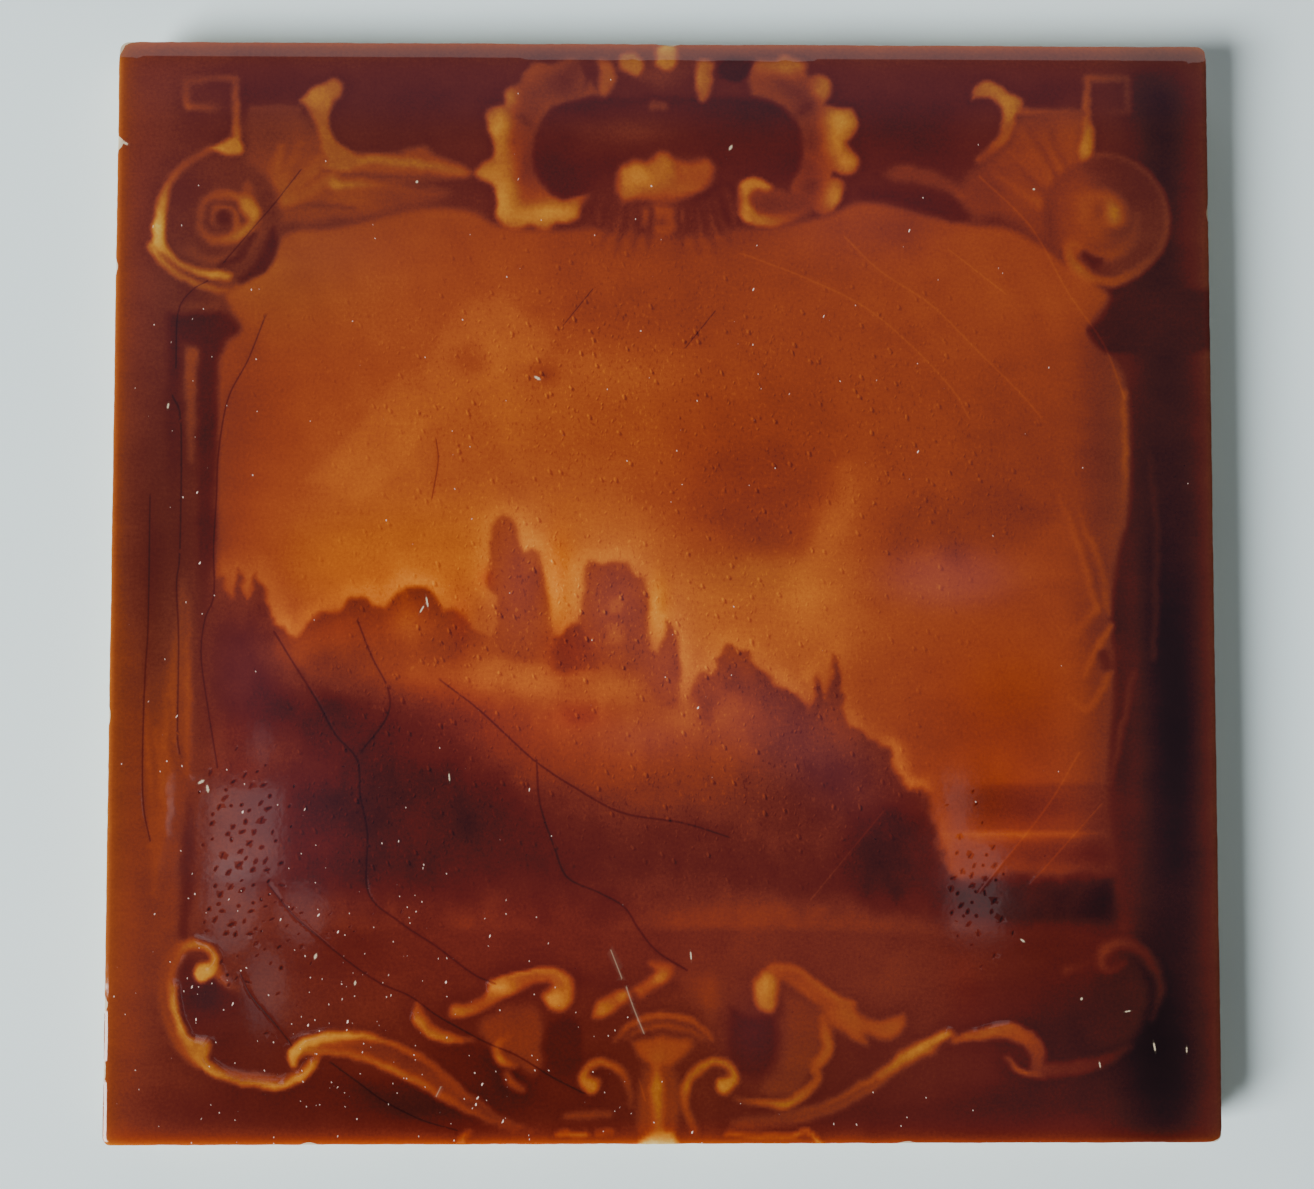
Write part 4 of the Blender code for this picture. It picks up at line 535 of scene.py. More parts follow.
def side_columns():
    """A fluted column on each side, reeds low on the left one and leaf strokes on the right one."""
    yield Patch([(-68.4, 37.4), (-62, 37.6), (-59.4, 36.8), (-58.6, 35.4), (-60.4, 34), (-61.8, 32),
        (-66, 33.4), (-68.2, 34.4)], 39, [(-65, 36.4, 3, 0.8, -2)], soft=0.8)
    yield Stroke([(-72.4, 38.4), (-62, 38.4)], 0.5, [52, 62], square=True, soft=0.7)
    yield Stroke([(-67.6, 34), (-67.6, 18), (-67.2, 2)], [1.1, 1, 0.4], [40, 42, 50], soft=0.8)
    yield Stroke([(-62.9, 33), (-63, 20), (-63, 6), (-63.3, -6)], [1.2, 1.2, 1.1, 0.4], [38, 38, 40, 50],
        soft=0.7)
    yield Stroke([(-65.2, 32), (-65.2, 17)], [0.9, 0.4], [70, 60])
    yield Stroke([(-66, 0), (-66.8, -12), (-68, -26), (-69.4, -42)], [0.3, 1, 1.2, 0.4], [62, 72, 74, 66],
        soft=0.8)
    yield Stroke([(-65.3, -2), (-65.2, -14), (-65, -26)], [0.3, 0.5, 0.3], [62, 80, 72], soft=0.6)
    yield Stroke([(-69.6, -20), (-68.6, -26), (-67.8, -34)], [0.2, 0.3, 0.2], [72, 80, 74])
    yield Stroke([(-71.2, -14), (-70.4, -24), (-69.6, -36)], [0.2, 0.4, 0.2], [60, 74, 70], soft=0.7)
    yield Stroke([(-67.6, -16), (-67.2, -22), (-66.4, -30)], [0.2, 0.3, 0.2], [60, 60, 64])
    yield Stroke([(-64.6, -29), (-64.8, -36), (-65.2, -47.4)], [0.5, 1, 0.7], [54, 43, 42], soft=0.8)
    yield Patch([(59, 35.4), (61.4, 38), (64, 40.6), (76, 41), (76, 33), (64, 32.2), (60.8, 32.6)], 34,
        soft=0.6)
    yield Stroke([(63.7, 27), (63.8, 18), (63.4, 8)], 0.35, [74, 80, 62], soft=0.4)
    yield Stroke([(67.4, 18), (68, 6), (67.4, -10)], 0.4, 37, soft=0.6)
    yield Stroke([(54.8, 12.2), (56.8, 6.4), (58.6, 0.4), (59.6, -3.4)], [0.2, 0.4, 0.4, 0.3], 79,
        soft=0.6)
    yield Stroke([(56.4, 12), (58.8, 6.4), (60.6, 0.6), (61.2, -3.6)], [0.2, 0.4, 0.4, 0.3],
        [70, 77, 72, 76], soft=0.6)
    yield Stroke([(54, -8), (57.2, -6), (59.6, -3)], [0.9, 0.6, 0.4], [80, 79, 83], soft=0.8)
    yield Stroke([(61.5, -5.6), (59.6, -8.6), (57.6, -12.6)], [0.4, 0.5, 0.3], [86, 84, 78], soft=0.6)
    yield Stroke([(61.2, -11.6), (60, -14.6), (57.8, -17.2), (54.6, -14.6)], [0.3, 0.5, 0.4, 0.2], 77,
        soft=0.6)
    yield Stroke([(60.4, -9.6), (60.9, -11)], 0.8, 46, soft=0.6)
    yield Stroke([(64.6, -12), (62.8, -20), (61.2, -27)], 0.35, [48, 56, 52])


def frame_line():
    """The inner edge of the frame, from the foot of the right column round to that of the left one."""
    right = [(61.9, -47), (61.6, -38), (60.9, -27), (61.9, -12), (61.6, -4), (62.6, 4), (64.3, 12),
        (64.3, 26), (62.4, 31.4), (60.2, 33.2), (58.8, 35.6), (60.2, 37.6), (61.8, 40.6)]
    top = [(57.4, 43.6), (54, 46.4), (48, 49.6), (43, 50.2), (37, 51.4), (32, 52.8), (27, 53.2),
        (21.8, 51.2), (15, 49.8), (10.6, 49.6), (6, 48.6), (0, 48.6), (-6, 49), (-10, 49.6),
        (-15.5, 49.2), (-23, 49.9), (-27, 51.8), (-34, 52.2), (-40, 50.8), (-46, 49.4)]
    left = [(-51.5, 48.9), (-54, 47), (-55.4, 44.4), (-57.8, 42), (-60.4, 40.2), (-59.6, 37.6),
        (-58.6, 35.4), (-61, 32.4), (-61.6, 25), (-61.4, 5), (-61.8, -20), (-61.6, -47)]
    return smooth_line(right + top + left, FRAME_STEP)[0]


def skyline():
    """The top of the woods and ruins from left to right: tree tops, two broken towers and the far shore."""
    woods_left = [(-62.5, -1.5), (-60.8, 1.6), (-59.6, -1.6), (-58.2, 1.8), (-57.2, -2.4), (-56, 1.8),
        (-54.6, -2), (-53.2, -5.2), (-51.8, -7.2), (-50.2, -7.4), (-49.2, -6.2), (-46.8, -3.8),
        (-44.6, -3.3), (-43, -2.1), (-41.2, -1.8), (-39.8, -3), (-38.4, -3.2), (-37.2, -1.6),
        (-35.6, -0.3), (-32.8, -0.4), (-31.4, -1.6), (-30.4, -3.6), (-28.8, -3.6), (-27.4, -4.4),
        (-26.6, -6), (-24.8, -6.8)]
    tall_tower = [(-23.4, -7.5), (-22.8, -5.5), (-22.8, -1.6), (-24.3, -0.4), (-24.6, 0.9), (-24.1, 2.4),
        (-24, 5.6), (-23.8, 8), (-23, 9.2), (-22, 9.6), (-20.9, 9.1), (-20.2, 7.4), (-20, 5.2),
        (-19.2, 4.3), (-18.2, 5), (-17.3, 4.6), (-16.8, 2.8), (-16.3, 0), (-15.9, -3), (-15.5, -7.2)]
    low_tower = [(-14.3, -7.2), (-12.8, -5.4), (-11.6, -5.4), (-11, -1), (-11, 2.4), (-10.3, 3.2),
        (-8.6, 2.9), (-7, 3.1), (-5.2, 3), (-4.2, 1.6), (-2.9, 1), (-2.3, -1.4), (-2.4, -4.6),
        (-2.1, -8.6), (-0.8, -9.4), (-0.1, -7.4), (0.4, -5), (1.2, -6.2), (1.9, -8.4), (2.2, -12),
        (1.7, -17)]
    woods_right = [(3, -17.2), (4, -13.8), (4.8, -12.6), (6.4, -12), (7.4, -10.2), (9, -8.2),
        (10.2, -9.2), (11.4, -9.2), (12.8, -11), (14.4, -12.6), (16.6, -14.6), (18.6, -16), (19.8, -17.4),
        (20.5, -15.2), (20.9, -12.2), (21.5, -13.4), (22.2, -16), (22.8, -12), (23.4, -9.6),
        (24.1, -11.6), (24.5, -17.4)]
    shore = [(25.4, -18.8), (27.4, -20.4), (29.6, -21.6), (31, -23.2), (31.9, -26.2), (33.2, -28),
        (35.4, -28.2), (36.5, -28.8), (36.9, -32.2), (37.8, -36), (38.6, -39), (40.4, -40.2), (50, -39.8),
        (62.8, -39.6)]
    return np.array(woods_left + tall_tower + low_tower + woods_right + shore)


def land_outline():
    """A closed line round all that lies under the skyline."""
    return np.concatenate([skyline(), [(63.0, -60.0), (-63.0, -60.0)]])


# The picture and the ground of the frame are washes of thicker and thinner glaze. Lightness runs from 20,
# pooled and near black, to 200, thin and pale. Each mark has a centre, a reach both ways, a change in
# lightness at its centre, and if need be a lean in degrees and a hardness

# The sky
SKY = 77.0
SKY_MARKS = (
    (-37, 38, 17, 9, 10),
    (0, 50, 22, 5, -8),
    (-9, 38, 6, 4, -6, -40),
    (-22, 38, 3, 5, 6),
    (18, 42, 14, 6, -2),
    (2, 39, 7, 6, -5),
    (46, 43, 10, 7, 5),
    (-58, 22, 5, 18, -9),
    (-62, 5, 3.5, 30, -8),
    (-36, 20, 16, 9, 14, 32),
    (-20, 22, 9, 11, 15),
    (-22, 33, 5, 6, 3, 60),
    (-27, 11, 9, 4, 10),
    (-58, 43, 5, 4, 13),
    (-53, 4, 4, 5, -10),
    (-18.5, 6, 2, 4, 10),
    (-35, 1, 5, 3, 10),
    (-5, 4, 6, 4, 9),
    (-13.4, -1.6, 2, 5, 18),
    (13, 2.6, 3, 1.6, 9),
    (20, 1, 4, 5, 11),
    (44, 15, 8, 5, -5),
    (-27, 31, 2.6, 2.6, -14, 0, 1.5),
    (-16.5, 29, 1.5, 1.2, -20),
    (-5, 29, 9, 6, 11),
    (-7, 17, 8, 6, 10),
    (-38, 13, 14, 5, 7),
    (-37, 2, 18, 8, 27, 0, 1.5),
    (-52, 6, 6, 8, 8),
    (-12, 5, 14, 8, 28, 0, 1.3),
    (1, -5, 4, 9, 8),
    (14, 15, 11, 10, -2, 0, 1.3),
    (25, 12, 4, 9, -3, 0, 1.2),
    (33, 49.4, 6, 3, -8),
    (9, 49, 5, 3, -5),
    (12, -5, 17, 8, 25, -4, 2.2),
    (25, 9, 5, 8, 12),
    (21, 1.5, 6, 4, 6),
    (54, 16, 6, 14, -6),
    (46, 24, 9, 8, -4),
    (35, -3.5, 7, 3.5, 7),
    (29, -12, 4, 10, 5, 20),
    (45, -8, 12, 6, 2),
    (44, -20, 14, 5, -7),
)

# Clouds, each an outline with its change in lightness and its softness
CLOUDS = (
    ([(3, 14), (4.6, 8.6), (7.6, 6.4), (10.6, 7.2), (12.6, 4.6), (17.6, 4.8), (19.6, 9), (22.4, 13.4),
      (25, 19), (20, 26), (8, 24)], -3.5, 2.6),
    ([(4, 9.4), (7.6, 6.4), (9.4, 5.2), (12.6, 4.6), (15.5, 3.8), (18.4, 3), (20.4, 3.6), (19.8, 9),
      (20.6, 15), (16, 21), (8, 19), (4, 14)], -4, 1.4),
    ([(19.6, 3.6), (20.6, 8), (22.6, 14), (25.6, 17), (27, 12), (25, 6), (23.4, 3)], 7, 1.2),
    ([(22.5, 8), (26, 7), (28.5, 11), (30, 16), (26, 17.5), (23, 13)], 6, 1.6),
    ([(30, 5.6), (36, 4.2), (44, 4.4), (50, 6.2), (54, 10), (48, 13), (38, 12.6), (31, 10)], -9, 2.2),
    ([(24, 3.6), (34, 3.4), (46, 2.6), (50, 0.6), (44, -1.6), (32, -1.8), (25, 0.2)], 5, 1.4),
    ([(-50, 14), (-44, 19), (-38, 27), (-33, 30), (-30, 36), (-25, 40), (-19, 38), (-16, 32), (-22, 30),
      (-30, 24), (-36, 17), (-42, 12)], 8, 1.3),
    ([(-14, 31), (-6, 34), (2, 34), (5, 30), (0, 27), (-8, 26)], 4, 2),
)

# How light the glow over the skyline is, and where it is stronger
RIM_LIGHT = 12.0
RIM_MARKS = (
    (-51.5, -6, 3, 4, 26),
    (-38, 0, 8, 4, 9),
    (-14.4, 0, 1.8, 5.5, 42),
    (-12.5, -2, 2, 4, 10),
    (-18, 7, 2, 3, 8),
    (-0.9, -3.4, 1.2, 4.6, 38),
    (2.6, -13, 2, 4, 16),
    (4, -12.5, 4, 4, 9),
    (17.5, -13.6, 3, 2.5, 20),
    (25.4, -20, 2, 4, 14),
    (31.6, -21, 1.6, 2, 10),
    (32.8, -24.5, 2.4, 4, 24, 20),
    (38.6, -34, 1.4, 5, 8),
    (35, -27.4, 2.4, 1.2, 14),
)

# The water at the right
WATER = 69.0
WATER_MARKS = (
    (48, -30, 9, 2.4, -13, 0, 2),
    (55, -27.4, 6, 0.8, -8),
    (49, -34.2, 9, 0.6, 26, 0, 1.5),
    (44, -34.6, 5, 1.0, 10),
    (52, -37.4, 9, 1.6, -6),
    (56, -37, 8, 2.4, -10),
    (50, -40.4, 12, 1.6, -14),
)

# The hill and the woods under the skyline
LAND = 56.0
LAND_MARKS = (
    (-59, -9, 6, 7, -6),
    (-50.5, -9.4, 3.4, 2.6, 18),
    (-43, -6.6, 6, 3, 18),
    (-39.4, -6.0, 1.4, 2.4, -8),
    (-34.5, -6, 5, 4, 22),
    (-35, -4.6, 1.8, 2.4, 12),
    (-25.0, -8.0, 2.6, 3.0, 16),
    (-28, -12.5, 16, 2.8, 27),
    (-20, -13.5, 8, 3.6, 14),
    (-20, -10, 5, 4, 14),
    (-7, -12, 6, 3.6, 18),
    (-10, -18, 15, 6, 29, -6),
    (-5, -15, 5, 3, 14),
    (2.5, -18, 2.4, 4, 18),
    (1, -13, 1.6, 4, 8),
    (7.5, -15, 5, 5, 16),
    (9, -17, 1.6, 3, 4),
    (10, -20, 6, 4, 14),
    (24, -20, 4, 4, 10),
    (-5, -25, 18, 4, 10),
    (-44, -19, 15, 5, -19, -14),
    (-35, -31, 19, 8, -19, 0, 1.8),
    (-37, -40, 18, 3.4, -14, 0, 1.4),
    (-26, -33, 6, 5, -5),
    (-14, -37, 9, 4, -13),
    (4, -36, 10, 4, -10),
    (20, -41, 12, 3.4, -13, -6),
    (32, -36.5, 8, 7.4, -20, 0, 1.8),
    (22, -28, 6, 5, -9),
    (50, -43.5, 14, 4.5, -23, 0, 2),
    (10, -46.0, 14, 3.5, 13),
    (31, -49, 12, 3.4, 12, -8),
    (-24, -47.5, 6, 4, 8),
    (-12, -44, 20, 3.0, -7),
    (-40, -49, 14, 4, -5),
    (-10, -49, 5, 5, -2),
    (55, -52, 8, 6, -15),
)

# Ruins, their openings and bushes, each an outline with its own lightness and softness
LAND_SHAPES = (
    ([(-24.6, -9.6), (-22.9, -8), (-22.9, -1.6), (-24.6, 0.4), (-24.2, 10.4), (-20, 10.4), (-19.9, 5),
      (-16, 6), (-15.2, -8.4), (-16, -10.8)], 80, 0.6),
    ([(-19.4, 5.6), (-16.6, 5.6), (-16.4, 2.4), (-19.2, 2.2)], 90, 1),
    ([(-18.8, 1.6), (-17.6, 1.6), (-17.4, -4.4), (-18.8, -4.6)], 76, 0.6),
    ([(-11.4, 4), (-2, 3.6), (-2, -10), (-4.6, -12), (-10.2, -10.4), (-11.4, -6)], 77, 0.5),
    ([(-7.6, -1.8), (-5.8, -1.9), (-5.7, -3.8), (-7.5, -3.9)], 98, 0.5),
    ([(-7.9, -5.4), (-5.8, -5.6), (-5.6, -8), (-7.9, -8)], 97, 0.6),
    ([(-2.4, -9.6), (0, -4.4), (2.8, -9), (2.4, -16.6), (-0.6, -17), (-2.6, -13)], 76, 0.6),
    ([(-12.6, -4.6), (-15.6, -9.6), (-15.2, -12), (-9.4, -11.6), (-9.2, -9.8)], 65, 0.7),
    ([(-14.2, -16.2), (-9.6, -16.4), (-9.4, -19), (-13.6, -19.2)], 74, 0.8),
    ([(-29.8, -3), (-27.2, -3.2), (-26.9, -7.6), (-29.2, -9), (-30, -7.4)], 67, 0.5),
    ([(-25.4, -0.4), (-24, -0.6), (-23.6, 1.6), (-24.8, 2.2)], 72, 0.5),
    ([(4.2, -14.4), (5.4, -12.6), (7.2, -13.2), (6.8, -18.4), (5, -18.6)], 71, 0.8),
    ([(8, -9.8), (9.2, -8.4), (11, -9.6), (12.6, -12.4), (11.8, -14.6), (8.6, -14.8)], 68, 0.8),
)

# The ground of the frame round the picture
FRAME = 52.0
FRAME_MARKS = (
    (-60, 64, 10, 7, -3),
    (-35, 66, 8, 6, -7),
    (-54, 69.5, 5, 3, -5),
    (-66, 52, 4, 8, 2),
    (-34, 53, 9, 2, 2),
    (-60.3, 41.2, 3, 2.4, 14),
    (36, 63, 8, 6, -12),
    (54, 69, 4, 2.4, -7),
    (34, 51, 8, 2.5, -8),
    (-21, 62, 9, 10, -3),
    (23, 62, 8, 9, -6),
    (62, 41, 5, 3, -11),
    (69, 66, 5, 9, -14),
    # The ground darkens down the right side
    (69.5, 10, 5.5, 46, -20, 0, 2),
    (69, -40, 6, 40, -22, 0, 1.5),
    (62.3, -12, 2.2, 36, -8, 0, 2),
    (-70, 20, 5, 22, 6),
    (-70, 0, 1.4, 14, -6),
    (-67, -28, 4, 24, 11, 0, 1.5),
    (-72, -30, 2, 16, 5),
    (-58, -58, 6, 6, -2),
    (-72, -62, 3, 12, 5),
    (-40, -68.5, 10, 2.4, -11, -22),
    (-25, -66, 8, 6, -6),
    (-14, -54, 6, 2, -6),
    (25, -66, 8, 4, -5, 30),
    (0, -73, 60, 3, -4, 0, 1.5),
    (-48, -71, 24, 4, -11, 0, 1.5),
    (-22, -66, 12, 8, -11),
    (52, -64, 12, 6, -8),
    (54, -53, 8, 4, -4),
    (24, -72, 20, 4, -6),
    (-70, 14, 6, 20, -9, 0, 1.5),
    (-70, 66, 6, 8, 6),
    (67, -20, 3.5, 20, 8),
    (66, -58, 6, 12, -7),
    (12, -50, 10, 5, 6),
    (61.5, 16, 2, 28, -8),
    (70, 58, 6, 14, -6),
    (-43, -49, 10, 5, -5),
    (55, -58, 10, 7, -13),
    (30, -53, 8, 4, 6),
    (52, -48.5, 9, 2.5, -10),
    (48, -70, 14, 3.4, -10),
    (66, -68, 9, 10, -16),
    (-73.5, -48, 2.4, 14, 7),
    (-70, 48, 4, 9, 4),
    (-68, -52, 6, 6, 4),
    (-9, -68, 9, 7, -6),
    (48, -74, 16, 4, -4),
)

# The glow over the skyline: how far above that line it starts, how far it reaches and how much it fades at
# the right
RIM_START = 0.6
RIM_REACH = 1.7
RIM_FADE = 0.45

# The shade that falls on the picture beside the right column
COLUMN_SHADE = 22.0

# How softly two grounds meet, and how wide the clouds' edges waver
GROUND_SOFTNESS = 0.8
SHORE_SOFTNESS = 0.5
CLOUD_WAVER = 1.2
CLOUD_STEP = 2.0

# The ornament: the lightness at which it starts to rise and that of its highest ridges, the streaks on it,
# and how far and how dark the glaze pools beside it
RISING_LIGHTNESS = 62.0
RIDGE_LIGHTNESS = 140.0
ORNAMENT_STREAKS = 5.0
POOL_REACH = 1.6
POOL_DARKNESS = 5.0


def brushed(x, y):
    """Places moved about a little, so that painted edges run unevenly, but less at the towers."""
    rough = 1.0 - 0.6 * ramp(x, -46.0, -40.0) * ramp(-x, -6.0, -2.0)
    return (x + rough * (0.4 * ripple(x, y, 1.5, SEED + 11) + 0.25 * ripple(x, y, 0.8, SEED + 12)),
            y + rough * (0.5 * ripple(x, y, 1.7, SEED + 13) + 0.25 * ripple(x, y, 0.8, SEED + 14)))


def sky_lightness(x, y, over):
    """Lightness of the sky and, low at the right, of the water, with a glow along the skyline."""
    sky = SKY + washes(x, y, SKY_MARKS)
    wavy_x = x + CLOUD_WAVER * ripple(x, y, 4.0, SEED + 15)
    wavy_y = y + CLOUD_WAVER * ripple(x, y, 4.0, SEED + 16)
    for line, change, soft in CLOUDS:
        cloud = inside_depth(wavy_x, wavy_y, smooth_line(line + [line[0]], CLOUD_STEP)[0][:-1])
        sky += change * ramp(cloud, -soft, soft)
    water = WATER + washes(x, y, WATER_MARKS)
    sky = mixed(sky, water, ramp(-y, 26.6, 28.0) * ramp(x, 33.0, 40.0))
    rim = RIM_LIGHT * (1.0 - RIM_FADE * ramp(x, 14.0, 30.0)) + washes(x, y, RIM_MARKS)
    return sky + rim * np.exp(-(np.maximum(over - RIM_START, 0.0) / RIM_REACH) ** 2)


def land_lightness(x, y):
    """Lightness of the hill and the woods, with the ruins' walls and openings laid over them."""
    land = LAND + washes(x, y, LAND_MARKS)
    for points, lightness, softness in LAND_SHAPES:
        depth = inside_depth(x, y, np.array(points, float))
        land = mixed(land, lightness, ramp(depth, -softness, softness))
    return land


def picture_lightness(x, y):
    """Lightness of the landscape: sky and water, and the woods and ruins under the skyline."""
    uneven_x, uneven_y = brushed(x, y)
    over = -inside_depth(uneven_x, uneven_y, land_outline())
    soft = SHORE_SOFTNESS * (1.0 + ramp(x, 25.0, 40.0))
    picture = mixed(land_lightness(uneven_x, uneven_y), sky_lightness(x, y, over), ramp(over, -soft, soft))
    shade = COLUMN_SHADE * ramp(x, 54.5, 62.5) * ramp(-y, -44.0, -30.0)
    return picture - shade * (1.0 - 0.5 * ramp(x, 58.0, 64.0))


def ground_lightness(x, y):
    """Lightness of the glaze without its ornament: the frame's edge is softest low at the right."""
    inside = inside_depth(x, y, frame_line())
    soft = GROUND_SOFTNESS + 1.8 * ramp(-y, 42.0, 47.0) * ramp(x, 20.0, 45.0)
    return mixed(FRAME + washes(x, y, FRAME_MARKS), picture_lightness(x, y), ramp(inside, -soft, soft))


def picture_share(x, y):
    """1 inside the frame's inner edge and 0 outside it."""
    return ramp(inside_depth(x, y, frame_line()), -GROUND_SOFTNESS, GROUND_SOFTNESS)


def mottle(x, y):
    """Uneven colour: slanting streaks in the sky, upright dabs in the woods and soft blots on the frame."""
    over = -inside_depth(*brushed(x, y), land_outline())
    sky = 2.4 * ripple(x + 0.5 * y, 0.35 * (y - 0.5 * x), 3.0, SEED + 17)
    sky += 1.8 * ripple(x, y, 2.0, SEED + 18)
    land = 3.6 * ripple(x, 0.6 * y, 1.3, SEED + 19) + 3.4 * ripple(x, y, 3.2, SEED + 20)
    frame_ground = 2.0 * ripple(x, y, 3.5, SEED + 21) + 1.4 * ripple(x, y, 1.2, SEED + 22)
    picture = mixed(land, sky, ramp(over, -SHORE_SOFTNESS, SHORE_SOFTNESS))
    return mixed(frame_ground, picture, picture_share(x, y))


def edge_thinning_and_sheen(x, y):
    """How much lighter the glaze is towards the tile's edges, where it thins, with painted highlight along
    the left edge and painted sheen along the top edge.
    """
    left, right, foot, head = HALF + x, HALF - x, HALF + y, HALF - y
    right_part = ramp(x, -10.0, 60.0)
    sides = 46.0 * np.exp(-left / 0.45) + 22.0 * np.exp(-left / 2.2) + 14.0 * np.exp(-right / 0.7)
    sides += 50.0 * np.exp(-foot / 0.5) * (1.0 - 0.35 * right_part)
    sides += 28.0 * np.exp(-foot / 1.5) * (1.0 - 0.8 * right_part)
    return sides + 40.0 * np.exp(-head / 1.0)


def carved_lightness(x, y, ground, carving):
    """Lightness of the glaze with the ornament, darker beside each ridge and lighter on it, and how far the
    ridges rise, from 0 to 1."""
    value, raised = ground.copy(), np.zeros_like(x)
    uneven_x = x + 0.22 * ripple(x, y, 1.9, SEED + 23) + 0.12 * ripple(x, y, 0.9, SEED + 24)
    uneven_y = y + 0.22 * ripple(x, y, 1.9, SEED + 25) + 0.12 * ripple(x, y, 0.9, SEED + 26)
    reached = [mark.reach(uneven_x, uneven_y, 3.2) for mark in carving]
    pooled = np.zeros_like(x)
    for near, depth, light in reached:
        gain = np.clip((light - value[near]) / 40.0, 0.0, 1.0)
        pooled[near] = np.maximum(pooled[near], gain * np.exp(-(np.minimum(depth, 0.0) / POOL_REACH) ** 2))
    value -= POOL_DARKNESS * pooled
    for mark, (near, depth, light) in zip(carving, reached):
        value[near] = mixed(value[near], light, ramp(depth, -mark.soft, mark.soft))
        rise = np.clip((light - RISING_LIGHTNESS) / (RIDGE_LIGHTNESS - RISING_LIGHTNESS), 0.0, 1.0)
        raised[near] = mixed(raised[near], rise, ramp(depth, -mark.soft - 0.3, mark.soft + 0.5))
    return value, raised


def glaze_lightness(x, y, carved):
    """Lightness of the glaze, with uneven patches, streaks on the bright ornament, and edges lighter where
    it thins and with painted sheen.
    """
    ornament = ORNAMENT_STREAKS * np.clip((carved - 60.0) / 40.0, 0.0, 1.0) * (1.0 - picture_share(x, y))
    streaks = ornament * ripple(x - 0.4 * y, x + y, 0.8, SEED + 27)
    return carved + (mottle(x, y) * (0.4 + 0.008 * carved) + streaks) + edge_thinning_and_sheen(x, y)


def edge_distance(x, y):
    """Distance inwards from the tile's widest outline, with its rounded corners."""
    inner = HALF - CORNER_RADIUS
    over_x, over_y = np.abs(x) - inner, np.abs(y) - inner
    corner = CORNER_RADIUS - np.hypot(np.maximum(over_x, 0.0), np.maximum(over_y, 0.0))
    return np.where((over_x > 0.0) & (over_y > 0.0), corner, HALF - np.maximum(np.abs(x), np.abs(y)))


# The rolled edge of the face: how wide it is, how far it falls and how sharply it turns, at the top of the
# picture, where it is a broad slope, and along the other three sides
TOP_ROLL = (3.1, 0.95, 1.2)
SIDE_ROLL = (0.7, 0.3, 3.0)


def edge_drop(x, y):
    """How far the face falls away towards the edge."""
    drops = []
    for distance, (width, fall, power) in ((HALF - y, TOP_ROLL), (edge_distance(x, y), SIDE_ROLL)):
        drops.append(fall * np.clip(1.0 - distance / width, 0.0, 1.0) ** power)
    return np.maximum(*drops)


def glaze_height(x, y, raised, cracks, scratches, pits):
    """Height of the glaze's surface in millimetres: pooled and level in the hollows, thin on the ridges."""
    height = POOL_LEVEL + (RIDGE_LEVEL - POOL_LEVEL) * RELIEF_SHARE * raised - edge_drop(x, y)
    return height - CRACK_DEPTH * cracks + SCRATCH_HEIGHT * scratches - pits


# Cracks in the glaze, raised scratches on it and pale worn scratches, each a line of points with its half
# width; how deep a crack and how high a scratch is, and how far the clay shows in a pale one
CRACK_DEPTH = 0.01
SCRATCH_HEIGHT = 0.008
CRACKS = (
    ([(-67.8, 26), (-66.6, 22), (-66.5, 5), (-66.9, 0), (-66.5, -8), (-66.5, -20), (-66.2, -23)], 0.13),
    ([(-70.7, 12), (-70.7, -5), (-71, -12), (-71.2, -22), (-71, -30), (-70, -35)], 0.12),
    ([(-55.3, 36.8), (-57.5, 31), (-60.2, 25.5), (-61.4, 18), (-61.6, 12), (-61.9, 5), (-61.8, -1.5),
      (-63, -5), (-63.4, -10), (-62.3, -17.5), (-61, -25)], 0.12),
    ([(-53.5, -6.5), (-51, -10.5), (-47.5, -16), (-45, -20.5), (-42, -24), (-41.5, -29), (-40.5, -34),
      (-40.3, -42), (-36, -46), (-31, -49.3), (-26, -53), (-23, -54.3)], 0.15),
    ([(-42.1, -5), (-40.1, -9.9), (-37.8, -14.5), (-38, -18.2), (-41.3, -22.7)], 0.15),
    ([(-30.6, -13.2), (-25.6, -17), (-20.7, -21.5), (-17.4, -24.4), (-12.4, -27.7), (-5.8, -31.2),
      (2.5, -32.6), (8.7, -34.5)], 0.14),
    ([(-17.5, -24), (-17, -30), (-15, -36), (-13.2, -40), (-9, -42), (-5.5, -44), (-3.5, -47), (-1, -50),
      (3, -52.5)], 0.15),
    ([(-53.8, -41), (-50.5, -45), (-47, -48), (-44, -50.5), (-39, -54), (-34.5, -56), (-31, -58.5),
      (-28, -60.2), (-24, -62.3), (-20, -64), (-15, -67), (-11, -69)], 0.14),
    ([(-57.5, -53), (-56, -56), (-52.5, -60), (-50.5, -62.5)], 0.12),
    ([(-45, -65), (-41.5, -67.5), (-38, -70), (-33, -72.5), (-28, -74)], 0.12),
    ([(-31.5, 20), (-31.2, 17), (-32, 12)], 0.10),
    ([(-50.5, 57.6), (-54, 53), (-57, 49.4), (-61, 44.6)], 0.10),
    ([(-63.2, 42), (-65.4, 40.6), (-67.2, 37.6), (-67.4, 30)], 0.10),
    ([(-10, 41), (-14, 36)], 0.09),
    ([(7, 38), (3, 33)], 0.09),
)
SCRATCHES = (
    ([(25, 48.5), (30, 43.7), (37, 39), (43, 33), (49, 27), (52, 23.5)], 0.15),
    ([(11, 46), (20, 42.5), (28, 38.5), (35, 32.5), (40, 27), (42, 23.5)], 0.15),
    ([(39.5, 46.8), (47.5, 40.5)], 0.12),
    ([(44, 57), (51, 50), (56, 41), (61, 33.5), (63.8, 26)], 0.15),
    ([(57, -23), (52, -31), (43, -42)], 0.14),
    ([(60, -30), (50, -41)], 0.12),
    ([(30, -31), (20, -43)], 0.12),
    ([(-3.4, -67.4), (-2.6, -70)], 0.14),
)
PALE_SHARE = 0.34
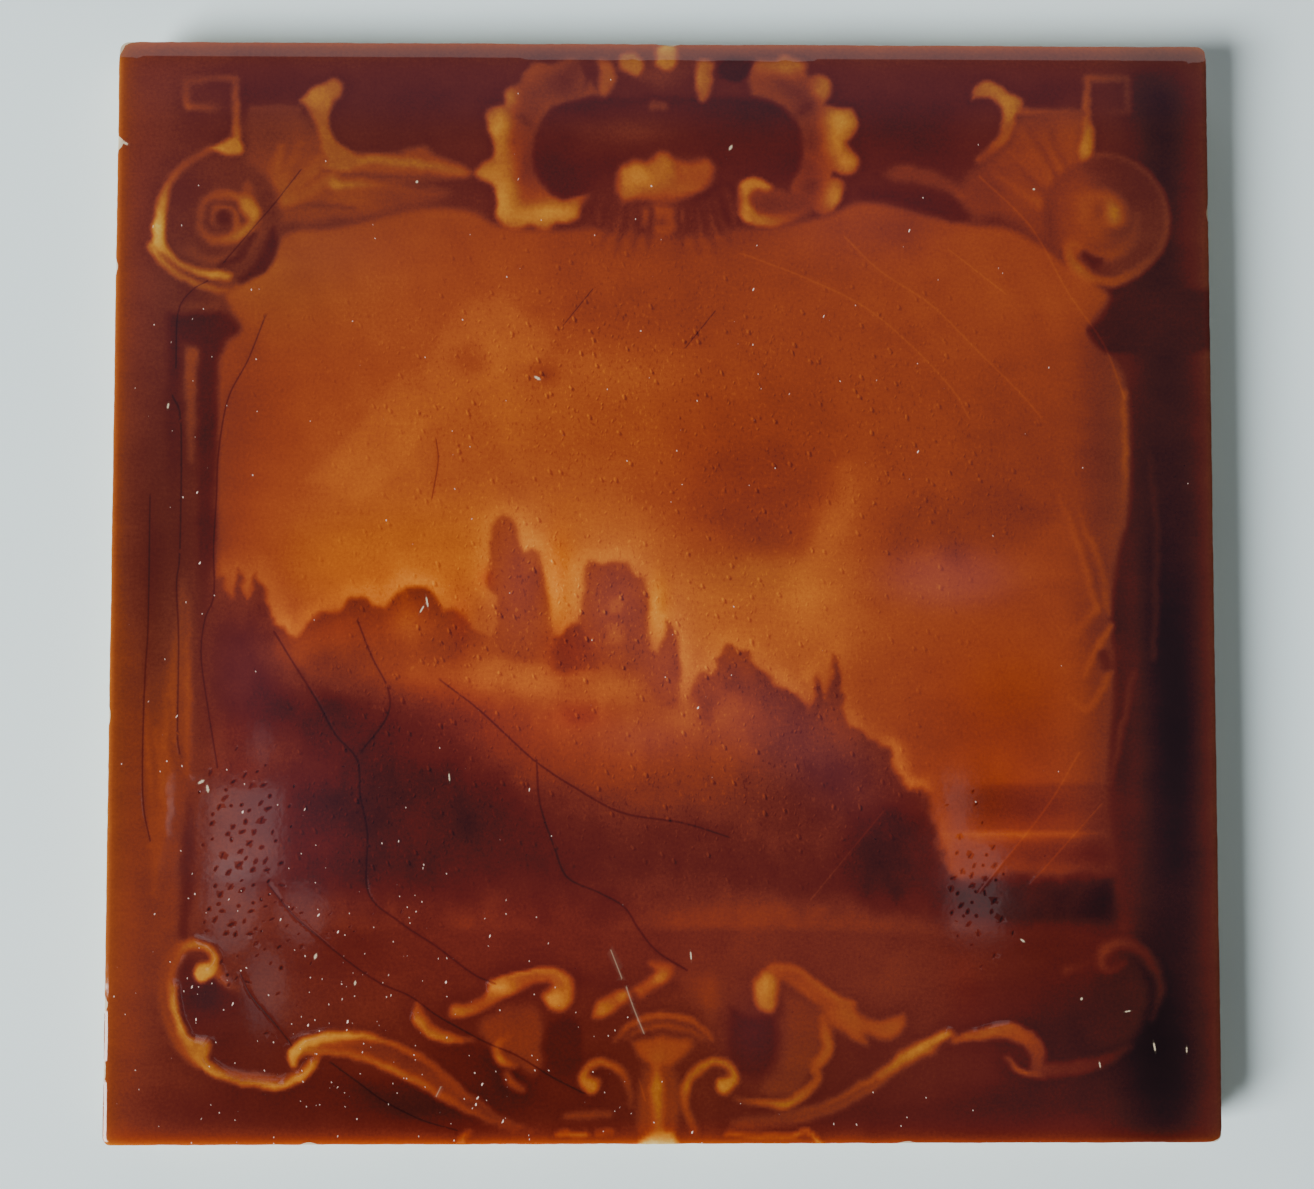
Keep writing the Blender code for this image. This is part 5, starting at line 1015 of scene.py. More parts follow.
PALE_SCRATCHES = (
    ([(-7.3, -49.8), (-5.8, -53.6)], 0.08),
    ([(-5.2, -54.8), (-4.2, -57.6), (-2.8, -61)], 0.08),
    ([(-30.3, -68.2), (-30.9, -69.4)], 0.07),
)

# Nicks where the glaze has flaked to the pale clay, each with a centre, two half sizes and a lean
NICKS = (
    (-63.2, -27.0, 0.6, 0.22, 30),
    (-62.3, -27.9, 0.7, 0.22, 100),
    (-68.4, 24.6, 0.55, 0.18, 80),
    (9.2, 61.0, 0.5, 0.2, 60),
    (51.5, 55.3, 0.22, 0.18, 0),
    (-17.6, 28.6, 0.6, 0.22, -30),
    (-34.4, 56.0, 0.25, 0.22, 60),
    (-74.9, 61.3, 0.7, 0.22, -25),
    (-47.4, -50.6, 0.5, 0.2, 70),
    (-42.0, -54.2, 0.4, 0.16, 80),
    (-32.6, -2.4, 1.1, 0.13, 100),
    (-33.3, -3.4, 0.9, 0.12, 60),
    (-29.4, -26.4, 0.8, 0.11, 95),
    (3.6, -50.6, 0.9, 0.11, 95),
    (48.9, -48.6, 0.45, 0.16, -35),
    (66.8, -63.0, 0.9, 0.14, 100),
    (71.2, -63.4, 0.6, 0.12, 90),
    (63.2, -58.2, 0.6, 0.12, 10),
    (59.3, -65.4, 0.6, 0.12, 100),
    (56.9, -56.5, 0.25, 0.2, 60),
)


def line_share(x, y, lines):
    """1 along the middle of the given lines, falling to 0 at about twice their half widths."""
    total = np.zeros_like(x)
    for points, half in lines:
        near, depth, _ = Stroke(points, half, 1.0).reach(x, y, 2.0)
        total[near] = np.maximum(total[near], np.exp(-(1.0 - depth / half) ** 2))
    return total


class Pit:
    """A small hollow left by a burst bubble: its centre, its two half sizes, its lean and its depth."""

    def __init__(self, x, y, along, across, lean, depth):
        self.centre = (x, y)
        self.sizes = (along, across)
        self.lean = lean
        self.depth = depth

    def ring(self, share):
        """Points round the pit at a share of its size, closer together on a long narrow pit."""
        points = []
        longness = self.sizes[0] / self.sizes[1]
        outer = share > 0.8
        count = int(np.clip(round(4.0 * longness), 8, 36) if outer else np.clip(2 * longness, 6, 18))
        for index in range(count):
            angle = 2.0 * math.pi * (index + 0.5 * outer) / count
            along = share * self.sizes[0] * math.cos(angle)
            across = share * self.sizes[1] * math.sin(angle)
            points.append((self.centre[0] + along * math.cos(self.lean) - across * math.sin(self.lean),
                           self.centre[1] + along * math.sin(self.lean) + across * math.cos(self.lean)))
        return points

    def share(self, x, y):
        """How far points lie from the centre, as a share of the pit's size."""
        from_x, from_y = x - self.centre[0], y - self.centre[1]
        along = from_x * math.cos(self.lean) + from_y * math.sin(self.lean)
        across = from_y * math.cos(self.lean) - from_x * math.sin(self.lean)
        return np.hypot(along / self.sizes[0], across / self.sizes[1])


# Pits: how deep one is for its size, how far apart they keep and how far from the tile's edge, how much
# their leans differ, and how deep a nick is
PIT_DEPTH = 0.16
PIT_SPACING = 1.25
PIT_MARGIN = 3.5
PIT_LEAN_SPREAD = 22.0
NICK_DEPTH = 0.006

# Where pits lie close: the middle of a cloud of them, its spread, how many, their usual size and lean
PIT_CLOUDS = (
    (-56.5, -37.5, 3.0, 7.5, 190, 0.27, 50),
    (42.5, -41.0, 2.2, 4.5, 70, 0.24, 60),
    (-50.0, -47.0, 6.0, 5.0, 36, 0.18, 40),
    (-10.0, 15.0, 36.0, 22.0, 100, 0.12, -10),
    (0.0, -10.0, 44.0, 34.0, 130, 0.12, 20),
)


def scatter_pits():
    """The pits in their clouds, none of them too close to another."""
    draw = np.random.default_rng(SEED)
    pits = []
    for middle_x, middle_y, spread_x, spread_y, count, size, lean in PIT_CLOUDS:
        for _ in range(count):
            x = middle_x + spread_x * draw.normal()
            y = middle_y + spread_y * draw.normal()
            along = size * draw.uniform(0.8, 2.6)
            across = size * draw.uniform(0.6, 1.0)
            angle = math.radians(lean + draw.normal(0.0, PIT_LEAN_SPREAD))
            clear = all(math.hypot(x - pit.centre[0], y - pit.centre[1])
                        > PIT_SPACING * (along + pit.sizes[0]) for pit in pits)
            if clear and max(abs(x), abs(y)) < HALF - PIT_MARGIN:
                pits.append(Pit(x, y, along, across, angle, PIT_DEPTH * size * draw.uniform(0.6, 1.4)))
    return pits


def nick_pits():
    """The nicks as very shallow pits."""
    return [Pit(x, y, along, across, math.radians(lean), NICK_DEPTH) for x, y, along, across, lean in NICKS]


def pit_depth(x, y, pits):
    """How far the surface sinks in the pits."""
    depth = np.zeros_like(x)
    order = np.argsort(x)
    sorted_x = x[order]
    for pit in pits:
        far = 2.0 * pit.sizes[0]
        start, end = np.searchsorted(sorted_x, (pit.centre[0] - far, pit.centre[0] + far))
        near = order[start:end]
        share = pit.share(x[near], y[near])
        depth[near] = np.maximum(depth[near], pit.depth * np.clip(1.0 - share * share, 0.0, 1.0))
    return depth


# Where the glaze has worn or flaked off the tile's edge: a usual width for each side from the right
# anticlockwise, and larger flakes, each with its middle, its reach and how far it bites in
WORN_WIDTHS = (0.10, 0.10, 0.10, 0.12)
FLAKES = (
    (-76, 61.3, 0.9, 0.6),
    (-75.6, 75.6, 1.6, 0.5),
    (-76, 44, 0.8, 0.25),
    (-76, -18, 0.9, 0.25),
    (-76, -57, 1.0, 0.4),
    (-76, -66, 1.4, 0.3),
    (0.5, 76, 1.3, 0.3),
    (33, -76, 0.8, 0.25),
    (-48, -76, 1.0, 0.3),
    (76, 52, 0.8, 0.25),
    (75.7, -75.6, 1.2, 0.3),
)

# How far inside the tile's edge the rows of points along it lie, and the clear width after the last of them
RING_DISTANCES = (0.45, 0.9, 1.4, 1.95, 2.55)
RING_GAP = 0.35

# How far inside the glaze's edge its lip and its underside turn in
LIP_INSET = 0.04
UNDERSIDE_INSET = 3.0


def outline(insets):
    """Points round the tile, anticlockwise from the right side's foot, each drawn in by its own inset."""
    side_steps = round(2.0 * (HALF - CORNER_RADIUS) / EDGE_STEP)
    insets = np.broadcast_to(np.array(insets, float), 4 * (side_steps + CORNER_STEPS))
    points, index = [], 0
    for side in range(4):
        turn = math.pi / 2.0 * side
        cosine, sine = math.cos(turn), math.sin(turn)
        for step in range(side_steps + CORNER_STEPS):
            inset = insets[index]
            radius = max(CORNER_RADIUS - inset, 0.3)
            reach = HALF - inset - radius
            if step <= side_steps:
                out, along = reach + radius, reach * (2.0 * step / side_steps - 1.0)
            else:
                angle = math.pi / 2.0 * (step - side_steps) / CORNER_STEPS
                out, along = reach + radius * math.cos(angle), reach + radius * math.sin(angle)
            points.append((out * cosine - along * sine, out * sine + along * cosine))
            index += 1
    return np.array(points)


def worn_insets():
    """How far the glaze's edge lies inside the tile's, for each point of the outline."""
    places = outline(0.0)
    x, y = places.T
    sides = np.arange(len(places)) * 4 // len(places)
    usual = np.array(WORN_WIDTHS)[sides]
    insets = usual * (1.0 + 0.45 * ripple(x, y, 3.0, SEED + 2) + 0.35 * ripple(x, y, 0.9, SEED + 3))
    for flake_x, flake_y, reach, depth in FLAKES:
        away = np.hypot(x - flake_x, y - flake_y) / reach
        insets += depth * np.exp(-away ** 4) * (1.0 + 0.4 * ripple(x, y, 0.8, SEED + 4))
    return np.maximum(insets, 0.06)


# Settings of the triangulation: triangles within the rim only, and how close two points may lie
WITHIN_RIM = 1
CLOSENESS = 1e-4


def hex_points(step):
    """Points over the whole face in even rows, each row set off from the next by half a step."""
    rows = np.arange(-HALF, HALF, step * math.sqrt(0.75))
    columns = np.arange(-HALF, HALF, step)
    x, y = np.meshgrid(columns, rows)
    x = x + 0.5 * step * (np.arange(len(rows))[:, None] % 2)
    return x.ravel(), y.ravel()


def near_detail(x, y, carving):
    """True along the carving's edges, and where the picture's own edges run."""
    near = np.zeros(len(x), bool)
    for mark in carving:
        beside_mark, depth, _ = mark.reach(x, y, 1.2)
        near[beside_mark] |= np.abs(depth) < 0.5 + mark.soft
    within = inside_depth(x, y, frame_line())
    near |= (np.abs(inside_depth(x, y, land_outline())) < 1.5) & (within > 0.0)
    return near | (np.abs(within) < 0.8)


def beside(line, offset):
    """A line moved sideways by an offset."""
    along = np.gradient(line, axis=0)
    across = np.stack([-along[:, 1], along[:, 0]], axis=1) / np.linalg.norm(along, axis=1)[:, None]
    return line + offset * across


def triangulated(points, rim_count):
    """Triangles over flat points, of which the first ones make the rim, and where each point came from."""
    flat = [Vector(point) for point in points.tolist()]
    rim = [list(range(rim_count))]
    places, _, triangles, origins, _, _ = delaunay_2d_cdt(flat, [], rim, WITHIN_RIM, CLOSENESS)
    return places, triangles, origins


def face_plan(carving, pits, contour):
    """Triangles of the face seen from above: the places of its corners, and the corners of each."""
    fine_x, fine_y = hex_points(FINE_STEP)
    plain_x, plain_y = hex_points(PLAIN_STEP)
    fine = near_detail(fine_x, fine_y, carving)
    plain = ~near_detail(plain_x, plain_y, carving)
    x = np.concatenate([fine_x[fine], plain_x[plain]])
    y = np.concatenate([fine_y[fine], plain_y[plain]])
    keep = edge_distance(x, y) > RING_DISTANCES[-1] + RING_GAP
    lines = CRACKS + SCRATCHES + PALE_SCRATCHES
    keep &= line_share(x, y, [(points, half + 0.12) for points, half in lines]) < 0.35
    for pit in pits:
        keep &= (np.abs(x - pit.centre[0]) > 2.0 * pit.sizes[0]) | (pit.share(x, y) > 1.7)
    chosen = [contour, np.stack([x[keep], y[keep]], axis=1)]
    insets = worn_insets()
    for distance in RING_DISTANCES:
        chosen.append(outline(distance)[insets < distance - 0.2])
    for points, half in lines:
        line = smooth_line(points, CRACK_STEP)[0]
        chosen += [beside(line, offset) for offset in (-1.5 * half, 0.0, 1.5 * half)]
    for pit in pits:
        chosen.append(np.array([pit.centre] + pit.ring(0.5) + pit.ring(1.0) + pit.ring(1.4)))
    places, triangles, origins = triangulated(np.concatenate(chosen), len(contour))
    rim = {}
    for place, sources in enumerate(origins):
        rim.update({source: place for source in sources if source < len(contour)})
    places = np.array([tuple(place) for place in places])
    return places, triangles, [rim[index] for index in range(len(contour))]


# The angle in degrees from which an edge of a mesh stays sharp
SHARP_ANGLE = 50.0


def add_numbers(mesh, name, values):
    """One number for each corner point of a mesh, for its material to read."""
    attribute = mesh.attributes.new(name, "FLOAT", "POINT")
    attribute.data.foreach_set("value", np.asarray(values, np.float32))


def add_piece(name, corners, faces, material):
    """A mesh piece of the tile, given in millimetres, that rides with it and stands for its solid."""
    mesh = bpy.data.meshes.new(name)
    mesh.from_pydata((np.asarray(corners) * MM).tolist(), [], faces)
    mesh.materials.append(material)
    mesh.shade_smooth()
    mesh.set_sharp_from_angle(angle=math.radians(SHARP_ANGLE))
    piece = bpy.data.objects.new(name, mesh)
    bpy.context.collection.objects.link(piece)
    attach(piece, "root")
    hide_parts("tile")
    return piece


def clay_line(x, y):
    """How bare the clay is: 1 in the middle of each nick, less on a pale scratch and 0 under whole glaze."""
    bare = PALE_SHARE * line_share(x, y, PALE_SCRATCHES)
    for nick in nick_pits():
        bare = np.maximum(bare, 1.0 - ramp(nick.share(x, y), 0.55, 1.05))
    return bare


def build_glaze(material):
    """The glaze: a thin plate that follows the moulded face, with a worn lip round its edge."""
    carving = [mark for maker in CARVING for mark in maker()]
    pits = scatter_pits() + nick_pits()
    insets = worn_insets()
    contour = outline(insets)
    places, triangles, rim = face_plan(carving, pits, contour)
    x, y = places.T
    cracks, scratches = line_share(x, y, CRACKS), line_share(x, y, SCRATCHES)
    hollow = pit_depth(x, y, pits)
    carved, raised = carved_lightness(x, y, ground_lightness(x, y), carving)
    z = glaze_height(x, y, raised, cracks, scratches, hollow)
    count, edge_count = len(places), len(contour)
    corners = [np.stack([x, y, z], axis=1)]
    faces = [tuple(triangle) for triangle in triangles]
    loops = [rim]
    for inset in (insets + LIP_INSET, np.maximum(insets + 0.3, UNDERSIDE_INSET)):
        ring = outline(inset)
        under = POOL_LEVEL - GLAZE_THICKNESS - edge_drop(*ring.T)
        first = count + edge_count * (len(loops) - 1)
        corners.append(np.column_stack([ring, under]))
        loops.append(list(range(first, first + edge_count)))
    for upper, lower in zip(loops, loops[1:]):
        for index in range(edge_count):
            after = (index + 1) % edge_count
            faces.append((upper[index], lower[index], lower[after], upper[after]))
    faces.append(tuple(reversed(loops[-1])))
    piece = add_piece("glaze", np.concatenate(corners), faces, material)
    # The haze is partly a violet cast and partly painted sheen of reflected light
    haze_and_sheen = haze_and_sheen_share(x, y)
    shown = {
        "lightness": without_haze_and_sheen(glaze_lightness(x, y, carved), haze_and_sheen) / LIGHTEST,
        "crack": cracks,
        "scratch": scratches,
        "pit": np.clip(hollow / FULL_PIT_DEPTH, 0.0, 1.0),
        "clay": clay_line(x, y),
        "specks": washes(x, y, SPECK_MARKS),
        "haze_and_sheen": haze_and_sheen,
        "red": washes(x, y, RED_MARKS),
        "gold": gold_share(x, y, carved),
        "bubble_shading": washes(x, y, BUBBLE_MARKS),
    }
    lip = (edge_thinning_and_sheen(*contour.T) + FRAME) / LIGHTEST
    hidden = {"lightness": np.concatenate([lip, lip]), "gold": np.ones(2 * edge_count)}
    for name, values in shown.items():
        below = hidden.get(name, np.zeros(2 * edge_count))
        add_numbers(piece.data, name, np.concatenate([values, below]))
    lay_out_face(piece.data, count)
    return piece


# The depth at which a pit's painted shade is at its darkest
FULL_PIT_DEPTH = 0.05

# Where white specks lie thickly
SPECK_MARKS = (
    (-48, -62, 28, 18, 1.4),
    (-10, -72, 50, 5, 0.5),
    (-30, -66, 20, 8, 0.8),
    (-66, 0, 6, 70, 0.4),
    (-40, -40, 20, 14, 0.5),
    (0, 20, 60, 40, 0.2),
)

# How thick the haze is, partly a violet cast in the glaze and partly a painted sheen of reflected light, and
# where it is thicker or thinner
HAZE_AND_SHEEN = 0.25
HAZE_AND_SHEEN_MARKS = (
    (0, 70, 90, 6, 0.42, 0, 1.5),
    (0, 58, 90, 8, 0.12),
    (-70, 42, 8, 24, 0.22),
    (-62, 0, 8, 10, 0.1),
    (70, 0, 8, 80, 0.05, 0, 1.5),
    (68, -62, 8, 14, -0.1),
    (-57, -12, 6, 8, 0.35),
    (-50, -32, 10, 14, 0.3),
    (13, -18, 14, 6, 0.46, -25, 1.3),
    (24, -27, 8, 5, 0.2, -40),
    (-20, 1, 4, 8, 0.5),
    (-7, -2, 5, 7, 0.5),
    (0, -8, 4, 8, 0.3),
    (39, 1, 9, 4, 0.6, 0, 1.5),
    (-20, -18, 16, 5, 0.12),
    (-10, 22, 46, 12, -0.13),
    (48, -15, 10, 9, -0.2),
    (-20, -68, 50, 15, -0.22, 0, 1.5),
    (50, -50, 14, 8, -0.14),
    (12, -61, 4, 5, 0.22),
    (-62, -56, 3, 3, 0.15),
    (-36, 3, 20, 8, -0.3),
    (-14.4, 0, 1.8, 5, -0.5),
    (-0.8, -3, 1.5, 4, -0.5),
    (-2, -21, 8, 3, 0.3),
    (27, 50, 12, 6, 0.2),
    (-46, 46, 12, 5, 0.15),
    (42, -30, 6, 6, -0.3),
    (-48, -48, 14, 6, -0.15),
    (-72, -20, 8, 24, -0.15),
    (0, 64, 24, 10, -0.08),
)

# Where the glaze is redder
RED_MARKS = (
    (-13, -9, 3.4, 3.4, 1.2),
    (-12, -18, 4, 2, 1.0),
    (-28, -5.5, 1.4, 3.4, 0.9),
    (-24.5, 1, 1.2, 1.4, 0.9),
    (-45, -6, 8, 3, 0.5),
    (-56, -34, 14, 16, 0.4),
    (-32, -68, 28, 9, 0.4),
    (34, -33, 6, 8, 0.4),
    (45, -15, 12, 11, 0.35),
    (46, -30, 10, 13, 0.9),
    (-26, -51, 28, 8, 0.9),
    (-20, -22, 20, 10, 0.6),
    (-35, -1, 14, 5, 0.5),
    (-14.5, 2, 2, 6, 0.7),
    (0, -75, 90, 2, 0.9, 0, 2),
    (-28, -18, 10, 5, 0.6, -25),
    (-22, -44, 16, 4, 0.5),
    (-57, -20, 4, 3, 0.7),
    (-58, -25.5, 3, 2, 0.7),
    (12, 16, 12, 10, 0.4),
    (52, -31, 10, 3, 0.5),
    (55, -37, 8, 2, 0.6),
    (41, -54, 3, 6, 0.8),
    (2, -48, 30, 6, 0.3),
    (61, -50, 5, 5, 0.5),
    (-20, 62, 3, 6, 0.4),
    (20, 60, 3, 6, 0.4),
)

# How strongly the golden tint shows, and where the glaze has more or less of it
GOLD_STRENGTH = 0.65
GOLD_MARKS = (
    (-58, -58, 11, 13, 0.5),
    (-14.5, 0, 1.8, 6, -0.4),
    (-48, 58, 22, 12, 0.8),
    (-56, 42, 14, 9, 0.8),
    (-68, 20, 6, 36, 0.8, 0, 1.5),
    (20, -68, 26, 8, 0.4),
    (12, 2, 8, 4, 0.4),
    (70, 0, 10, 90, 1.2, 0, 1.5),
    (70, -66, 12, 14, 0.5),
    (70, 68, 10, 12, 0.5),
    (0, 70, 90, 8, 0.7, 0, 1.5),
    (-70, -20, 8, 44, 0.4, 0, 1.5),
)

# Where the painted light and shade of small bubbles and dents shows in the glaze
BUBBLE_MARKS = (
    (-12, -2, 30, 16, 1.0),
    (-10, 30, 34, 16, 0.9),
    (10, -25, 26, 16, 0.6),
    (35, 15, 20, 25, 0.5),
    (-40, -30, 20, 16, 0.4),
)


def haze_and_sheen_share(x, y):
    """How thick the haze, a violet cast with painted sheen of reflected light, is from 0 to 1: none along
    the foot and little along the left edge.
    """
    thin_edge = np.maximum(np.exp(-((HALF + y) / 1.6) ** 2), 0.6 * np.exp(-((HALF + x) / 2.0) ** 2))
    return np.clip(HAZE_AND_SHEEN + washes(x, y, HAZE_AND_SHEEN_MARKS), 0.0, 1.0) * (1.0 - thin_edge)


def gold_share(x, y, carved):
    """How golden the glaze is: on bright ornament, along the left and right edges and where it is marked."""
    thin = (1.0 - picture_share(x, y)) * ramp(carved, 72.0, 96.0)
    edges = 0.8 * np.exp(-((HALF + x) / 2.2) ** 2) + 1.2 * np.exp(-((HALF - x) / 1.6) ** 2)
    return GOLD_STRENGTH * np.clip(thin + edges + washes(x, y, GOLD_MARKS), 0.0, 1.5)


# The parts of the flat layout that the face and the glaze's hidden side take up
FACE_SHARE = 0.94
HIDDEN_SHARE = 0.01


def lay_out_face(mesh, face_count):
    """A flat layout for the glaze's colours: the face over most of it, and its hidden side in one corner."""
    places = np.empty(len(mesh.vertices) * 3, np.float32)
    mesh.vertices.foreach_get("co", places)
    plan = places.reshape(-1, 3)[:, :2] / (2.0 * HALF * MM)
    loops = np.empty(len(mesh.loops), np.int32)
    mesh.loops.foreach_get("vertex_index", loops)
    starts = np.empty(len(mesh.polygons), np.int32)
    mesh.polygons.foreach_get("loop_start", starts)
    shown = np.maximum.reduceat(loops, starts) < face_count
    shown = np.repeat(shown, np.diff(np.append(starts, len(loops))))
    face_layout, hidden_layout = 0.5 + FACE_SHARE * plan[loops], HIDDEN_SHARE * (1.0 + plan[loops])
    layout = np.where(shown[:, None], face_layout, hidden_layout)
    mesh.uv_layers.new(name="OFBake").data.foreach_set("uv", layout.astype(np.float32).ravel())


# Rows of points over the back: insets from its outer edge, and how far outside the edge of a groove, inside
# it, past the foot of its wall and over its floor they lie
BACK_EDGE_ROWS = (0.0, 0.5, 2.0, 4.2)
OUTSIDE_GROOVE = 0.12
INSIDE_GROOVE = 0.05
PAST_WALL = 0.4
FLOOR_INSET = 1.6
FLOOR_ROWS = 4
END_INSET = 2.2
LENGTH_ROWS = 70
FLOOR_UNEVENNESS = 0.05


def groove_edges():
    """The x of both sides of every groove in the back, between the rim and the ribs."""
    inner_width = 2.0 * (HALF - BACK_RIM_WIDTH)
    pitch = (inner_width + RIB_WIDTH) / (RIB_COUNT + 1)
    starts = [-inner_width / 2.0 + index * pitch for index in range(RIB_COUNT + 1)]
    return [(start, start + pitch - RIB_WIDTH) for start in starts]


def back_plan():
    """The x and the y of the rows of points over the back, with rows along every edge of the grooves."""
    sides = [HALF - SIDE_DRAFT - inset for inset in BACK_EDGE_ROWS]
    steps_x = [-side for side in sides]
    for low_x, high_x in groove_edges():
        low_wall, high_wall = low_x + GROOVE_WALL_SLOPE, high_x - GROOVE_WALL_SLOPE
        steps_x += [low_x - OUTSIDE_GROOVE, low_x + INSIDE_GROOVE, low_wall, low_wall + PAST_WALL]
        steps_x += list(np.linspace(low_x + FLOOR_INSET, high_x - FLOOR_INSET, FLOOR_ROWS))
        steps_x += [high_wall - PAST_WALL, high_wall, high_x - INSIDE_GROOVE, high_x + OUTSIDE_GROOVE]
        steps_x.append(high_x + RIB_WIDTH / 2.0)
    steps_x = steps_x[:-1] + sorted(sides)
    mouth_y = HALF - BACK_RIM_WIDTH
    wall_y = mouth_y - GROOVE_WALL_SLOPE
    ends = sides + [mouth_y + OUTSIDE_GROOVE, mouth_y - INSIDE_GROOVE, wall_y, wall_y - PAST_WALL]
    middle = list(np.linspace(-mouth_y + END_INSET, mouth_y - END_INSET, LENGTH_ROWS))
    steps_y = sorted([-end for end in ends]) + middle + sorted(ends)
    return np.array(steps_x), np.array(steps_y)


def groove_depth(x, y):
    """How deep the back is cut at each place, with slightly uneven floors."""
    mouth_y = HALF - BACK_RIM_WIDTH
    in_length = np.clip((mouth_y - np.abs(y)) / GROOVE_WALL_SLOPE, 0.0, 1.0)
    depth = np.zeros_like(x)
    for low_x, high_x in groove_edges():
        across = np.clip(np.minimum(x - low_x, high_x - x) / GROOVE_WALL_SLOPE, 0.0, 1.0)
        depth = np.maximum(depth, np.minimum(across, in_length))
    return depth * (GROOVE_DEPTH + FLOOR_UNEVENNESS * ripple(x, y, 5.0, SEED + 5))


# Rings of points round the body: up its sides, each with its inset and its height, and over its shoulder,
# each with its distance from the tile's edge, of which the last is even; and how far the body stays under
# the glaze
SIDE_RINGS = (
    (SIDE_DRAFT + 0.5, 0.0),
    (SIDE_DRAFT, 0.45),
    (SIDE_DRAFT * 0.8, 2.0),
    (SIDE_DRAFT * 0.5, 4.0),
    (SIDE_DRAFT * 0.22, 6.2),
    (0.02, 7.5),
)
SHOULDER_RINGS = (0.06, 0.2, 0.4, 0.65, 1.0, 1.5, 3.2)
EVEN_FROM = 3.0
BODY_GAP = 0.02


def build_biscuit(material):
    """The clay body: sides with a slight draft, a rounded upper edge, and a back with keying grooves."""
    corners, loops = [], []
    for number, (inset, level) in enumerate(SIDE_RINGS):
        ring = outline(inset)
        rough = 0.03 * ripple(ring[:, 0] + 3.0 * level, ring[:, 1] - 3.0 * level, 1.4, SEED + 6)
        ring = outline(inset + np.abs(rough)) if number else ring
        corners.append(np.column_stack([ring, np.full(len(ring), level)]))
    for distance in SHOULDER_RINGS:
        ring = outline(distance)
        level = POOL_LEVEL - GLAZE_THICKNESS - BODY_GAP - edge_drop(*ring.T)
        rough = 0.05 * ripple(ring[:, 0], ring[:, 1], 0.7, SEED + 7) - 0.05
        corners.append(np.column_stack([ring, level + (rough if distance < EVEN_FROM else -BODY_GAP)]))
    edge_count = len(corners[0])
    faces = []
    for number in range(len(corners)):
        loops.append(list(range(number * edge_count, (number + 1) * edge_count)))
    for lower, upper in zip(loops, loops[1:]):
        for index in range(edge_count):
            after = (index + 1) % edge_count
            faces.append((lower[index], lower[after], upper[after], upper[index]))
    faces.append(tuple(loops[-1]))
    add_back(corners, faces, loops[0])
    return add_piece("biscuit", np.concatenate(corners), faces, material)


def add_back(corners, faces, rim):
    """The back inside its outermost ring of corners, with its ribs and grooves."""
    ring = corners[0][:, :2]
    steps_x, steps_y = back_plan()
    x, y = (grid.ravel() for grid in np.meshgrid(steps_x, steps_y))
    inner = edge_distance(x, y) > SIDE_DRAFT + 0.9
    points = np.concatenate([ring, np.stack([x[inner], y[inner]], axis=1)])
    places, triangles, origins = triangulated(points, len(ring))
    first = sum(len(part) for part in corners)
    new_index, added = {}, []
    for place, sources in enumerate(origins):
        edge = [source for source in sources if source < len(ring)]
        if edge:
            new_index[place] = rim[edge[0]]
        else:
            new_index[place] = first + len(added)
            added.append(tuple(places[place]))
    added = np.array(added)
    depth = groove_depth(added[:, 0], added[:, 1])
    corners.append(np.column_stack([added, depth]))
    faces += [tuple(new_index[corner] for corner in reversed(triangle)) for triangle in triangles]


# Colours of the glaze by its lightness, from pooled to thin, as red, green and blue from 0 to 255
LIGHTEST = 200.0
GLAZE_COLOURS = (
    (0, (8, 1, 1)),
    (15, (27, 7, 6)),
    (22, (43, 10, 8)),
    (30, (59, 18, 11)),
    (38, (78, 20, 11)),
    (46, (87, 27, 15)),
    (55, (102, 38, 21)),
    (65, (119, 46, 21)),
    (75, (134, 54, 21)),
    (86, (145, 63, 22)),
    (98, (159, 76, 23)),
    (112, (177, 91, 24)),
    (128, (192, 108, 27)),
    (148, (206, 127, 40)),
    (170, (213, 154, 70)),
    (200, (231, 192, 122)),
)
SPECK_COLOUR = (255, 228, 212)

# Colours of the clay, from 0 to 255: clean, stained, dusty and flecked, and of glaze that ran down it
CLAY_COLOUR = (206, 190, 160)
CLAY_STAIN = (150, 118, 84)
CLAY_DUST = (226, 216, 196)
CLAY_FLECK = (120, 92, 66)
GLAZE_RUN = (104, 48, 26)

# The runs of glaze down the sides, by the height they start from and how far down they can reach, and the
# grit on the clay
RUN_START = 11.3
RUN_LENGTH = 9.0
GRIT_HEIGHT = 0.05

# The light that full haze adds, as painted sheen of reflected light over a violet cast, how bright that is,
# and how redder and more golden glaze differ in colour
HAZE_AND_SHEEN_LIGHT = (0.018, 0.012, 0.023, 1.0)
HAZE_AND_SHEEN_SHARE = 0.0127
RED_SHIFT = (1.15, 0.55, 0.5, 1.0)
GOLD_SHIFT = (0.80, 1.185, 1.08, 1.0)

# How strongly each kind of mark changes the glaze's lightness
CRACK_SHADE = -0.36
SCRATCH_SHADE = 0.055
# A pit's darkening is painted shade, where it catches no reflection
PIT_SHADE = -0.13

# How red the red marks are, and how strongly the glaze bends light
RED_STRENGTH = 0.35
GLAZE_IOR = 1.5

# How a dot is flattened and drawn out before it is laid in the glaze
FLAT = (1.0, 1.0, 0.0)
BUBBLE_STRETCH = (1.0, 0.55, 0.0)
LONG_SPECK_STRETCH = (1.0, 0.42, 0.0)
ROUND_SPECK_STRETCH = (1.0, 0.7, 0.0)


